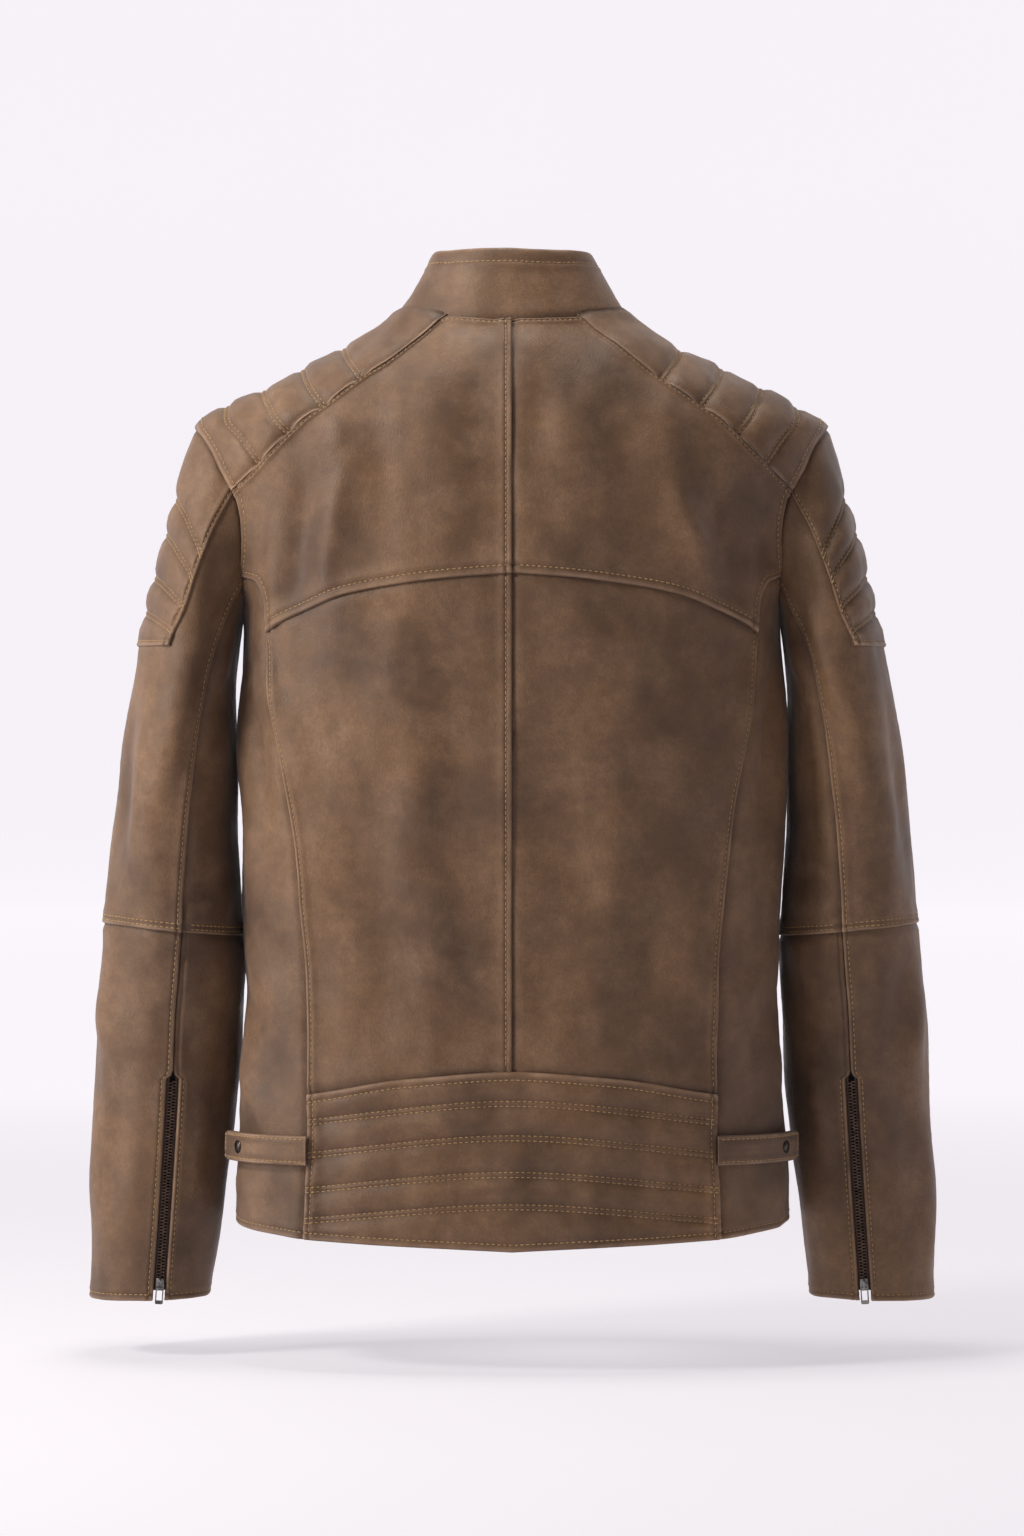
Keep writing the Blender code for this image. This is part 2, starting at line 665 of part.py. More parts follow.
def make_sleeve(side, word, leather, lining, wadding):
    middle = sleeve_middle(side)

    def piece(name, surface, columns, rows, parent, finish=leather, thickness=LEATHER, depth=0.0,
              margin=SEAM_GAP, **grid):
        cut = on_side(trimmed(surface, margin) if margin else surface, side)
        if depth:
            cut = lowered(cut, depth, middle)
        return sheet(f"{name}_{word}", cut, columns, rows, thickness, finish, middle, parent, **grid)

    shoulder = pivot(f"shoulder_pivot_{word}", (SHOULDER_PIVOT[0] * side, 0, SHOULDER_PIVOT[1]))
    elbow = pivot(f"elbow_pivot_{word}", (0, *ELBOW_PIVOT))
    piece("sleeve_patch", quilt_patch, 10, 4, shoulder, margin=PATCH_MARGIN)
    piece("sleeve_wadding", quilt_patch, 10, 4, shoulder, wadding, WADDING, WADDING_DEPTH, WADDING_MARGIN)
    piece("upper_sleeve_outer", upper_outer, 14, 8, shoulder,
          skip=lambda column, row: row < 4 and 2 <= column < 12)
    piece("upper_sleeve_under", upper_under, 6, 8, shoulder)
    piece("upper_sleeve_lining", sleeve_tube(0.020, ELBOW - 0.010), 14, 6, shoulder, lining, LINING,
          SLEEVE_LINING_DEPTH, margin=0, closed=True)
    piece("forearm_outer", lower_outer, 9, len(LOWER_ROWS) - 1, elbow, margin=FOREARM_MARGIN)
    piece("forearm_under", lower_under, 6, len(LOWER_ROWS) - 1, elbow, margin=FOREARM_MARGIN)
    piece("forearm_lining", sleeve_tube(ELBOW + 0.010, 0.985), 14, 5, elbow, lining, LINING,
          SLEEVE_LINING_DEPTH, margin=0, closed=True)
    return elbow


def block_mesh(name, frame, low, high):
    """A box between two corners given in a zip's own frame."""
    low = Vector(low)
    high = Vector(high)
    place = frame @ Matrix.Translation((low + high) / 2) @ Matrix.Diagonal((*(high - low), 1))
    bm = bmesh.new()
    bmesh.ops.create_cube(bm, size=1, matrix=place)
    mesh = bpy.data.meshes.new(name)
    bm.to_mesh(mesh)
    bm.free()
    return mesh


def cutter(name, frame, low, high):
    """A hidden box that cuts or joins a piece of a zip."""
    made = bpy.data.objects.new(name, block_mesh(name, frame, low, high))
    made.hide_render = True
    made.display_type = "WIRE"
    cutters.objects.link(made)
    return made


def combine(target, tool, operation):
    change = target.modifiers.new(operation.title(), "BOOLEAN")
    change.operation = operation
    change.object = tool


def zip_frame(bottom, top, outwards):
    """The zip's own axes at its lower end: X across the chain, Y up it and Z out of the jacket."""
    up = (top - bottom).normalized()
    across = up.cross(outwards).normalized()
    out = across.cross(up)
    return Matrix.Translation(bottom) @ Matrix((across, up, out)).transposed().to_4x4()


def make_chain(name, frame, length, slit_low, slit_high, metal, parent=None):
    """The teeth as a bar, slit down the middle for the slider's bridge except at the closed end."""
    bar = block_mesh(name, frame, (-CHAIN_TO, 0, CHAIN_BOTTOM), (CHAIN_TO, length, CHAIN_TOP))
    chain = new_object(name, bar, metal, parent)
    slit = ((-CHAIN_FROM, slit_low, CHAIN_BOTTOM - TAPE), (CHAIN_FROM, slit_high, CHAIN_TOP + TAPE))
    combine(chain, cutter(f"{name}_slit", frame, *slit), "DIFFERENCE")


def tape_offset(across):
    """How far from the zip's middle a place on its tape is: two strips with the chain between them."""
    edges = (TAPE_TO, TAPE_FROM, -TAPE_FROM, -TAPE_TO)
    spot = across * 3
    k = min(int(spot), 2)
    return edges[k] + (edges[k + 1] - edges[k]) * (spot - k)


def make_slider(name, frame, low, length, bridge_low, metal, parent):
    """Two plates joined through the slit by a bridge, with a staple on the upper plate for the pull."""
    top = CHAIN_TOP + SLIDER_GAP
    bottom = CHAIN_BOTTOM - SLIDER_GAP
    face = top + SLIDER_PLATE
    crown = face + STAPLE_WINDOW
    wide = SLIDER_HALF_WIDTH
    slim = STAPLE_HALF_WIDTH
    high = low + length
    sink = SLIDER_PLATE / 2
    slider = new_object(name, block_mesh(name, frame, (-wide, low, top), (wide, high, face)), metal, parent)
    staple_low = (-slim, low + STAPLE_MARGIN, face - sink)
    staple_high = (slim, high - STAPLE_MARGIN, crown + STAPLE_BAR)
    bridge_start = (-BRIDGE_HALF_WIDTH, bridge_low, bottom - sink)
    bridge_end = (BRIDGE_HALF_WIDTH, bridge_low + BRIDGE_LENGTH, top + sink)
    parts = {
        "lower_plate": ((-wide, low, bottom - SLIDER_PLATE), (wide, high, bottom)),
        "bridge": (bridge_start, bridge_end),
        "staple": (staple_low, staple_high),
    }
    for kind, corners in parts.items():
        combine(slider, cutter(f"{name}_{kind}", frame, *corners), "UNION")
    post = STAPLE_MARGIN + STAPLE_BAR
    window = ((-wide, low + post, face), (wide, high - post, crown))
    combine(slider, cutter(f"{name}_window", frame, *window), "DIFFERENCE")
    return face + STAPLE_WINDOW / 2


def make_pull(name, frame, bar, height, length, metal, parent):
    """A flat frame whose upper bar lies in the slider's staple, hanging down from it."""
    half = PULL_BAR / 2
    wide = PULL_HALF_WIDTH
    outline = ((-wide, bar + half - length, height - half), (wide, bar + half, height + half))
    window = ((-wide + 1.4 * PULL_BAR, bar - length + 2.5 * PULL_BAR, height - PULL_BAR),
              (wide - 1.4 * PULL_BAR, bar - half, height + PULL_BAR))
    pull = new_object(name, block_mesh(name, frame, *outline), metal, parent)
    combine(pull, cutter(f"{name}_window", frame, *window), "DIFFERENCE")


def make_cuff_zip(side, word, elbow, tape, metal):
    def at_seam(along):
        point = sleeve_point(along, smooth_value(BACK_SLEEVE_SEAM, along))
        return Vector((point.x * side, point.y, point.z))

    def tape_face(across, down):
        """Rows at the zip's upper end, where the two strips are one, and evenly below it."""
        spot = down * CUFF_TAPE_ROWS
        along = CUFF_TAPE_TOP + (CUFF_TAPE_JOIN - CUFF_TAPE_TOP) * min(1, spot)
        along += (CUFF_ZIP_END - CUFF_TAPE_JOIN) * max(0, spot - 1) / (CUFF_TAPE_ROWS - 1)
        return sleeve_point(along, seam_turn(along, BACK_SLEEVE_SEAM, tape_offset(across)))

    bottom = at_seam(CUFF_ZIP_END)
    top = at_seam(CUFF_ZIP_TOP)
    frame = zip_frame(bottom, top, bottom - sleeve_middle(side)(bottom))
    face = lowered(on_side(tape_face, side), TAPE_DEPTH, sleeve_middle(side))
    sheet(f"cuff_zip_tape_{word}", face, 3, CUFF_TAPE_ROWS, TAPE, tape, sleeve_middle(side), elbow,
          skip=lambda column, row: column == 1 and row > 0)
    length = (top - bottom).length
    make_chain(f"cuff_zip_chain_{word}", frame, length, -TAPE, length - CHAIN_STOP, metal, elbow)
    slider = f"cuff_zip_slider_{word}"
    carrier = pivot(f"cuff_slider_carrier_{word}", bottom)
    height = make_slider(slider, frame, 0.0, CUFF_SLIDER_LENGTH, STAPLE_BAR, metal, carrier)
    bar = STAPLE_MARGIN + STAPLE_BAR + PULL_BAR
    hinge = pivot(f"cuff_pull_pivot_{word}", frame @ Vector((0, bar, height)))
    make_pull(f"cuff_zip_pull_{word}", frame, bar, height, CUFF_PULL_LENGTH, metal, hinge)


def make_front_zip(tape, metal):
    def tape_face(across, down):
        """Evenly down to the chain's lower end, and one row below it where the two strips are one."""
        spot = down * FRONT_TAPE_ROWS
        lowest = FRONT_ZIP_END - TAPE_END
        height = FRONT_ZIP_TOP + (lowest - FRONT_ZIP_TOP) * min(1, spot / (FRONT_TAPE_ROWS - 1))
        height -= TAPE_END * max(0, spot - FRONT_TAPE_ROWS + 1)
        return body_point(180 - math.degrees(math.atan(tape_offset(across) / front_depth(height))), height)

    face = lowered(tape_face, TAPE_DEPTH, body_middle)
    sheet("front_zip_tape", face, 3, FRONT_TAPE_ROWS, TAPE, tape, body_middle,
          skip=lambda column, row: column == 1 and row < FRONT_TAPE_ROWS - 1)
    bottom = body_point(180, FRONT_ZIP_END)
    top = body_point(180, FRONT_ZIP_TOP)
    frame = zip_frame(bottom, top, Vector((0, 1, 0)))
    length = (top - bottom).length
    make_chain("front_zip_chain", frame, length, CHAIN_STOP, length + TAPE, metal)
    low = length - FRONT_SLIDER_LENGTH
    carrier = pivot("front_slider_carrier", top)
    bridge = length - STAPLE_BAR - BRIDGE_LENGTH
    height = make_slider("front_zip_slider", frame, low, FRONT_SLIDER_LENGTH, bridge, metal, carrier)
    bar = low + STAPLE_MARGIN + STAPLE_BAR + PULL_BAR
    hinge = pivot("front_pull_pivot", frame @ Vector((0, bar, height)))
    make_pull("front_zip_pull", frame, bar, height, FRONT_PULL_LENGTH, metal, hinge)


def strap_point(share, height):
    """A point on the right waist strap's outer face, from its seam to its tip."""
    marks = [k / (len(STRAP_PATH) - 1) for k in range(len(STRAP_PATH))]
    x = smooth_value([(mark, spot[0]) for mark, spot in zip(marks, STRAP_PATH)], share)
    y = smooth_value([(mark, spot[1]) for mark, spot in zip(marks, STRAP_PATH)], share)
    return Vector((x, y, height))


def disc(name, centre, axis, radius, height, finish, parent=None):
    """A short round piece standing on its centre along an axis."""
    bm = bmesh.new()
    turned = axis.to_track_quat("Z", "Y").to_matrix().to_4x4()
    place = Matrix.Translation(centre + axis * height / 2) @ turned
    bmesh.ops.create_cone(
        bm, cap_ends=True, segments=SNAP_SEGMENTS, radius1=radius, radius2=radius * SNAP_TAPER, depth=height,
        matrix=place,
    )
    mesh = bpy.data.meshes.new(name)
    bm.to_mesh(mesh)
    bm.free()
    new_object(name, mesh, finish, parent)


def make_waist_straps(leather, metal):
    """A strap on each side, held by a snap to a stud on the side panel."""
    middle_height = (STRAP_TOP + STRAP_BOTTOM) / 2

    def face(across, down):
        return strap_point(across, STRAP_TOP + (STRAP_BOTTOM - STRAP_TOP) * down)

    for side, word in SIDES:
        hinge = pivot(f"strap_pivot_{word}", (STRAP_PIVOT[0] * side, STRAP_PIVOT[1], middle_height))
        sheet(f"waist_strap_{word}", on_side(face, side), 7, 1, STRAP_THICKNESS, leather, body_middle, hinge)
        spot = on_side(face, side)(SNAP_ON_STRAP, 0.5)
        run = on_side(face, side)(SNAP_ON_STRAP + 0.02, 0.5) - on_side(face, side)(SNAP_ON_STRAP - 0.02, 0.5)
        out = Vector((-run.y, run.x, 0)).normalized() * -side
        disc(f"strap_snap_{word}", spot + out * PRESS_GAP, out, SNAP_RADIUS, SNAP_HEIGHT, metal, hinge)
        foot = body_point(STUD_TURN, middle_height)
        foot.x *= side
        disc(f"waist_stud_{word}", foot + out * STUD_FROM, out, STUD_RADIUS, STUD_HEIGHT, metal)


def build():
    leather = material("leather", LEATHER_COLOUR, 0.55)
    lining = material("lining", LINING_COLOUR, 0.7)
    wadding = material("wadding", WADDING_COLOUR, 0.95)
    tape = material("zip_tape", TAPE_COLOUR, 0.9)
    metal = material("zip_metal", METAL_COLOUR, 0.35, 1.0)
    make_body(leather, lining, wadding)
    make_collar(leather)
    make_hang_loop(leather)
    make_pockets(leather, lining)
    for side, word in SIDES:
        elbow = make_sleeve(side, word, leather, lining, wadding)
        make_cuff_zip(side, word, elbow, tape, metal)
    make_front_zip(tape, metal)
    make_waist_straps(leather, metal)


for old in list(bpy.data.objects):
    bpy.data.objects.remove(old)
jacket = bpy.data.collections.new("leather_riding_jacket")
cutters = bpy.data.collections.new("cutters")
bpy.context.scene.collection.children.link(jacket)
bpy.context.scene.collection.children.link(cutters)
build()
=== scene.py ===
"""The looks of a leather riding jacket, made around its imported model.

Metres, in the model's frame: +X the wearer's right, +Y the wearer's front, +Z up. The body and the sleeves
are the model's own two smooth surfaces. Each cut piece is a fine sheet laid on one of them, with its lapped,
folded and stitched edges, its quilting and its soft folds as real relief. Places on the body are (turn,
height) and places on a sleeve are (along, turn), with turns in degrees. Left pieces are mirrored right pieces.
"""

import json
import math

import bmesh
import bpy
import numpy as np
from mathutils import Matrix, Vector

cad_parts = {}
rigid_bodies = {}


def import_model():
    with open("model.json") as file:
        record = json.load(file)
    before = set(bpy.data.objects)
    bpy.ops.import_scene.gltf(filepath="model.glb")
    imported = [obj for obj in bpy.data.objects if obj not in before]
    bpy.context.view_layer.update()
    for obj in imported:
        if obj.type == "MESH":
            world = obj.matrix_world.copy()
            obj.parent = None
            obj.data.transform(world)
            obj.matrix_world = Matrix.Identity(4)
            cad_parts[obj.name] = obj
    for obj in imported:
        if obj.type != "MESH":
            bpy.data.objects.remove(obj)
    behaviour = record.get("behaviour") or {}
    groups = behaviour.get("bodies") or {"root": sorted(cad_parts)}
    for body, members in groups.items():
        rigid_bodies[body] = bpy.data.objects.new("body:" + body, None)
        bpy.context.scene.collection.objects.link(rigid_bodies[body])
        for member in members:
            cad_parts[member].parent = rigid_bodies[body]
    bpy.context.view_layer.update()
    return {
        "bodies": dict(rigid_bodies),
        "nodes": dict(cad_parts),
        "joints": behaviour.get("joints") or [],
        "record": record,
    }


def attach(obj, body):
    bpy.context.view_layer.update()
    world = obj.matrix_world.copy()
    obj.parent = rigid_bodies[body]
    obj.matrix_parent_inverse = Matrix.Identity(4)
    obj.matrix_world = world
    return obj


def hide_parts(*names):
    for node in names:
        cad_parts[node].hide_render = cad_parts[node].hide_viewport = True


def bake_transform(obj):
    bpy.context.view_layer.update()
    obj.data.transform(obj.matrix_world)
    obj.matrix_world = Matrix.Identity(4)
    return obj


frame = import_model()

SIDE_OF = {"right": 1, "left": -1}

# The body's outer surface, as in the model.
BODY_HALF_WIDTH = [
    (-0.666, 0.200), (-0.600, 0.198), (-0.499, 0.192), (-0.460, 0.191), (-0.407, 0.195), (-0.300, 0.197),
    (-0.200, 0.192), (-0.178, 0.197), (-0.141, 0.205), (-0.115, 0.215), (-0.100, 0.222), (-0.075, 0.225),
    (-0.059, 0.203), (-0.0325, 0.149), (0.0, 0.091), (0.008, 0.082),
]
BACK_DEPTH = [
    (-0.666, 0.108), (-0.550, 0.102), (-0.450, 0.100), (-0.300, 0.108), (-0.180, 0.110), (-0.100, 0.104),
    (-0.050, 0.092), (-0.020, 0.078), (0.0, 0.062), (0.008, 0.056),
]
FRONT_DEPTH_AT_HEM = 0.1183
FRONT_DEPTH_AT_NECK = 0.088
FRONT_DEPTH_AT_TOP = 0.060
BODY_SQUARENESS = [(-0.666, 2.30), (-0.200, 2.25), (-0.060, 2.00)]
NECK_SIDE_HEIGHT = 0.008
NECK_FRONT_DROP = 0.060
COLLAR_TOP_HEIGHT = 0.053
COLLAR_FRONT_DROP = 0.066
COLLAR_HALF_WIDTH = 0.0555
COLLAR_BACK_DEPTH = 0.046
COLLAR_FRONT_DEPTH = 0.060
COLLAR_END_TURN = 177.0
ARMHOLE_TOP = -0.073
ARMHOLE_DROP = 0.127
ARMHOLE_SPREAD = 13.0
ARMHOLE_AT_SEAM = 75.0
ARMHOLE_AT_YOKE = 133.0
HEM = [(0, -0.6555), (60, -0.6492), (74, -0.6451), (90, -0.6424), (130, -0.6450), (180, -0.6500)]
YOKE_SEAM = [(0, -0.1808), (22.4, -0.1841), (38.9, -0.1888), (51.7, -0.1952), (59.7, -0.2036),
             (66.6, -0.2120), (72.4, -0.2215)]
YOKE_SIDE = [(80.5, -0.1798), (75.2, -0.1850), (73.0, -0.2086), (72.4, -0.2215)]
PRINCESS_SEAM = [(72.4, -0.2215), (64.9, -0.3748), (64.0, -0.4631), (62.5, -0.5470)]
KIDNEY_SIDE = [(62.5, -0.5470), (61.5, -0.6490)]
KIDNEY_TOP = [(-62.5, -0.5470), (-38.2, -0.5350), (0, -0.5295), (38.2, -0.5350), (62.5, -0.5470)]
SHOULDER_BACK_SEAM = [(44.4, 0.0039), (51.9, -0.0271), (61.0, -0.0622), (70.6, -0.1028), (77.4, -0.1201)]
SHOULDER_FRONT_SEAM = [(128.0, -0.0240), (122.0, -0.0460), (114.0, -0.0780), (102.6, -0.1201)]
SIDE_SEAM = [(99.5, -0.1798), (103.5, -0.2500), (106.5, -0.4000), (108.0, -0.6437)]

# The sleeve's outer surface, as in the model.
SLEEVE_OUTER = [
    (-0.702, 0.3065), (-0.504, 0.3010), (-0.430, 0.2945), (-0.376, 0.289), (-0.304, 0.281), (-0.247, 0.271),
    (-0.204, 0.263), (-0.179, 0.257), (-0.150, 0.250), (-0.123, 0.241), (-0.090, 0.232), (-0.073, 0.225),
]
SLEEVE_INNER = [
    (-0.702, 0.2184), (-0.504, 0.1950), (-0.458, 0.1935), (-0.407, 0.196), (-0.340, 0.1995), (-0.268, 0.199),
    (-0.200, 0.192),
]
OUTER_DROP = 0.629
INNER_DROP = 0.500
INNER_DROP_POWER = 1.3
HALF_DEPTH = [(0.0, 0.050), (0.2, 0.066), (0.35, 0.068), (0.565, 0.062)]
CUFF_HALF_DEPTH = 0.040
ELBOW = 0.565
ELBOW_FORWARD = 0.020
CUFF_FORWARD = 0.040
SLEEVE_HEAD = 0.12
BACK_SLEEVE_SEAM = [(0.0, 137.0), (0.10, 135.0), (0.205, 126.0), (0.46, 105.0), (0.565, 100.5), (0.68, 98.0),
                    (1.0, 100.5)]
FRONT_SLEEVE_SEAM = [(0.0, -137.0), (0.25, -128.0), (1.0, -130.0)]
PATCH_EDGE = [(0.0, 75.0), (0.035, 79.5), (0.125, 84.0), (0.175, 82.0), (0.25, 72.0)]
PATCH_END = 0.25
PATCH_END_CURVE = 0.035
CUFF_ZIP_TOP = 0.742

# About the length of one degree round the body.
DEGREE_LENGTH = 0.0025

# Edges: (distance from the edge, height above the surface). A lapped edge lies over its neighbour, an under
# edge runs on below it, and a folded edge is free.
OVER = [(0.0, -0.0004), (0.0003, 0.0006), (0.0009, 0.0012), (0.0018, 0.0015), (0.0032, 0.0014),
        (0.0042, 0.0009), (0.0050, 0.0006), (0.0058, 0.0009), (0.0070, 0.0013), (0.0090, 0.0010),
        (0.0115, 0.0004), (0.0150, 0.0)]
UNDER = [(-0.0040, -0.0016), (0.0, -0.0010), (0.0015, -0.0007), (0.0032, -0.0001), (0.0055, 0.0004),
         (0.0090, 0.0003), (0.0150, 0.0)]
FOLD = [(0.0, -0.0014), (0.0003, -0.0004), (0.0009, 0.0003), (0.0018, 0.0007), (0.0032, 0.0007),
        (0.0042, 0.0003), (0.0050, 0.0), (0.0058, 0.0003), (0.0070, 0.0007), (0.0095, 0.0004), (0.0150, 0.0)]
PLAIN = [(0.0, 0.0), (0.0020, 0.0), (0.0080, 0.0)]
STITCH_AT = 0.0050
QUILT = [(0.0, -0.0001), (0.0008, -0.0003), (0.0016, -0.0011), (0.0025, -0.0003), (0.0040, 0.0008),
         (0.0065, 0.0018), (0.0095, 0.0026)]
GRID_STEP = 0.0045
FINE_STEP = 0.0030
LEATHER = 0.0013

STITCH_PITCH = 0.0040
STITCH_LENGTH = 0.0031
THREAD_RADIUS = 0.00042


def smooth(keys, spots):
    """Values at spots on a smooth curve through (spot, value) keys, without overshoot."""
    x, y = (np.array(column, float) for column in zip(*keys))
    step = np.diff(x)
    rise = np.diff(y) / step
    slope = np.concatenate([rise[:1], np.zeros(len(rise) - 1), rise[-1:]])
    product = rise[:-1] * rise[1:]
    slope[1:-1] = np.where(product > 0, 2 * product / np.where(product > 0, rise[:-1] + rise[1:], 1), 0)
    at = np.clip(np.asarray(spots, float), x[0], x[-1])
    k = np.clip(np.searchsorted(x, at, side="right") - 1, 0, len(x) - 2)
    t = (at - x[k]) / step[k]
    ends = y[k] * (1 + 2 * t) * (1 - t) ** 2 + y[k + 1] * t * t * (3 - 2 * t)
    return ends + step[k] * t * (1 - t) * (slope[k] * (1 - t) - slope[k + 1] * t)


def eased(t):
    """A share from 0 to 1 with soft ends."""
    t = np.clip(t, 0, 1)
    return t * t * (3 - 2 * t)


def stacked(*columns):
    """Columns of values side by side as places or points."""
    return np.stack(np.broadcast_arrays(*columns), -1)


def front_depth(height):
    """How far the front stands from the middle of the body at a height."""
    above = (height + NECK_FRONT_DROP) / (NECK_SIDE_HEIGHT + NECK_FRONT_DROP)
    below = (height + NECK_FRONT_DROP) / (BODY_HALF_WIDTH[0][0] + NECK_FRONT_DROP)
    upper = FRONT_DEPTH_AT_NECK + (FRONT_DEPTH_AT_TOP - FRONT_DEPTH_AT_NECK) * above
    lower = FRONT_DEPTH_AT_NECK + (FRONT_DEPTH_AT_HEM - FRONT_DEPTH_AT_NECK) * below
    return np.where(height > -NECK_FRONT_DROP, upper, lower)


def body_point(place):
    """Points on the body's outer surface at (turn, height)."""
    turn, height = place[..., 0], place[..., 1]
    angle = np.radians(turn)
    depth = np.where(np.cos(angle) > 0, smooth(BACK_DEPTH, height), front_depth(height))
    power = smooth(BODY_SQUARENESS, height)
    sideways = np.abs(np.sin(angle)) / smooth(BODY_HALF_WIDTH, height)
    lengthways = np.abs(np.cos(angle)) / depth
    reach = (sideways**power + lengthways**power) ** (-1 / power)
    return stacked(reach * np.sin(angle), -reach * np.cos(angle), height)


def armhole(turn):
    """The places on the body where the armhole passes at turns of the sleeve."""
    angle = np.radians(turn)
    height = ARMHOLE_TOP - ARMHOLE_DROP * (1 - np.cos(angle)) / 2
    return stacked(90 - ARMHOLE_SPREAD * np.sin(angle), height)


def sleeve_ring(along, turn):
    """Points on the right sleeve's tube, before it is drawn to the armhole."""
    outer_height = ARMHOLE_TOP - OUTER_DROP * along
    inner_height = ARMHOLE_TOP - ARMHOLE_DROP - INNER_DROP * np.maximum(along, 0) ** INNER_DROP_POWER
    outer = smooth(SLEEVE_OUTER, outer_height)
    inner = smooth(SLEEVE_INNER, inner_height)
    share = (along - ELBOW) / (1 - ELBOW)
    forward = np.where(
        along < ELBOW, ELBOW_FORWARD * along / ELBOW, ELBOW_FORWARD + (CUFF_FORWARD - ELBOW_FORWARD) * share
    )
    elbow_depth = HALF_DEPTH[-1][1]
    half_depth = np.where(
        along < ELBOW, smooth(HALF_DEPTH, along), elbow_depth + (CUFF_HALF_DEPTH - elbow_depth) * share
    )
    angle = np.radians(turn)
    cosine = np.cos(angle)
    return stacked(
        (outer + inner) / 2 + (outer - inner) / 2 * cosine,
        forward - half_depth * np.sin(angle),
        (outer_height + inner_height) / 2 + (outer_height - inner_height) / 2 * cosine,
    )


def sleeve_point(place):
    """Points on the right sleeve's outer surface at (along, turn)."""
    along, turn = place[..., 0], place[..., 1]
    ease = np.maximum(0, 1 - along / SLEEVE_HEAD) ** 2
    shift = body_point(armhole(turn)) - sleeve_ring(np.zeros_like(along), turn)
    return sleeve_ring(along, turn) + shift * ease[..., None]


def neck_height(turn):
    """The height of the neck seam at turns of the body."""
    angle = np.radians(turn)
    return NECK_SIDE_HEIGHT * np.sin(angle) ** 2 - NECK_FRONT_DROP * np.maximum(0, -np.cos(angle)) ** 1.5


def collar_point(place):
    """Points on the stand collar at (turn, rise), rise 0 at the neck seam and 1 at its top edge."""
    turn, rise = place[..., 0], place[..., 1]
    angle = np.radians(turn)
    depth = np.where(np.cos(angle) > 0, COLLAR_BACK_DEPTH, COLLAR_FRONT_DEPTH)
    height = COLLAR_TOP_HEIGHT - COLLAR_FRONT_DROP * np.maximum(0, -np.cos(angle)) ** 1.5
    top = stacked(COLLAR_HALF_WIDTH * np.sin(angle), -depth * np.cos(angle), height)
    base = body_point(stacked(turn, neck_height(turn)))
    return base + (top - base) * rise[..., None]


def route(points):
    """A smooth way through places, as a function of 0 to 1 by length."""
    spots = np.array(points, float)
    steps = np.hypot(np.diff(spots[:, 0]) * DEGREE_LENGTH, np.diff(spots[:, 1]))
    marks = np.concatenate([[0], np.cumsum(steps)]) / steps.sum()
    return lambda t: stacked(*(smooth(list(zip(marks, spots[:, axis])), t) for axis in (0, 1)))


def joined(first, second, share):
    """Two ways end to end, the first taking the given share."""
    return lambda t: np.where((t < share)[..., None], first(t / share), second((t - share) / (1 - share)))


def straight(start, finish):
    start, finish = np.array(start, float), np.array(finish, float)
    return lambda t: start + (finish - start) * t[..., None]


def neck_way(start, finish):
    return lambda t: stacked(start + (finish - start) * t, neck_height(start + (finish - start) * t))


def armhole_way(start, finish):
    return lambda t: armhole(start + (finish - start) * t)


def hem_way(start, finish):
    def way(t):
        turn = start + (finish - start) * t
        return stacked(turn, smooth(HEM, np.abs(turn)))

    return way


def between(top, bottom, left, right):
    """Places at (across, down) between four ways that share their corners."""
    zero, one = np.array(0.0), np.array(1.0)
    corners = [way(end) for way in (top, bottom) for end in (zero, one)]

    def place(across, down):
        u, v = across[..., None], down[..., None]
        ruled = top(across) * (1 - v) + bottom(across) * v
        sides = left(down) * (1 - u) + right(down) * u
        upper = corners[0] * (1 - u) + corners[1] * u
        lower = corners[2] * (1 - u) + corners[3] * u
        return ruled + sides - upper * (1 - v) - lower * v

    return place


RIPPLE_WAVES = 7
RIPPLE_SPREAD = (0.6, 1.5)


def ripples(points, size, seed):
    """A smooth random height of about -1 to 1 at points, with waves of about the given size."""
    random = np.random.default_rng(seed)
    total = np.zeros(points.shape[:-1])
    for _ in range(RIPPLE_WAVES):
        heading = random.normal(size=3)
        heading *= 2 * math.pi / size * random.uniform(*RIPPLE_SPREAD) / np.linalg.norm(heading)
        total += np.sin(points @ heading + random.uniform(0, 2 * math.pi))
    return total / (RIPPLE_WAVES / 2)


# Grids laid on the surfaces, with lines at set distances beside every seam. A seam is its place along the
# grid, the offsets of the lines beside it and, at an edge, its (profile, width, direction inwards).
SAMPLES = np.linspace(0, 1, 97)
ROOM_SHARE = 0.47
ROUNDS = 3
PROBE = 0.004


def lengths_along(points):
    """Lengths from the start of each line of points, for points as (line, sample, 3)."""
    steps = np.linalg.norm(np.diff(points, axis=1), axis=-1)
    return np.concatenate([np.zeros((len(points), 1)), np.cumsum(steps, axis=1)], axis=1)


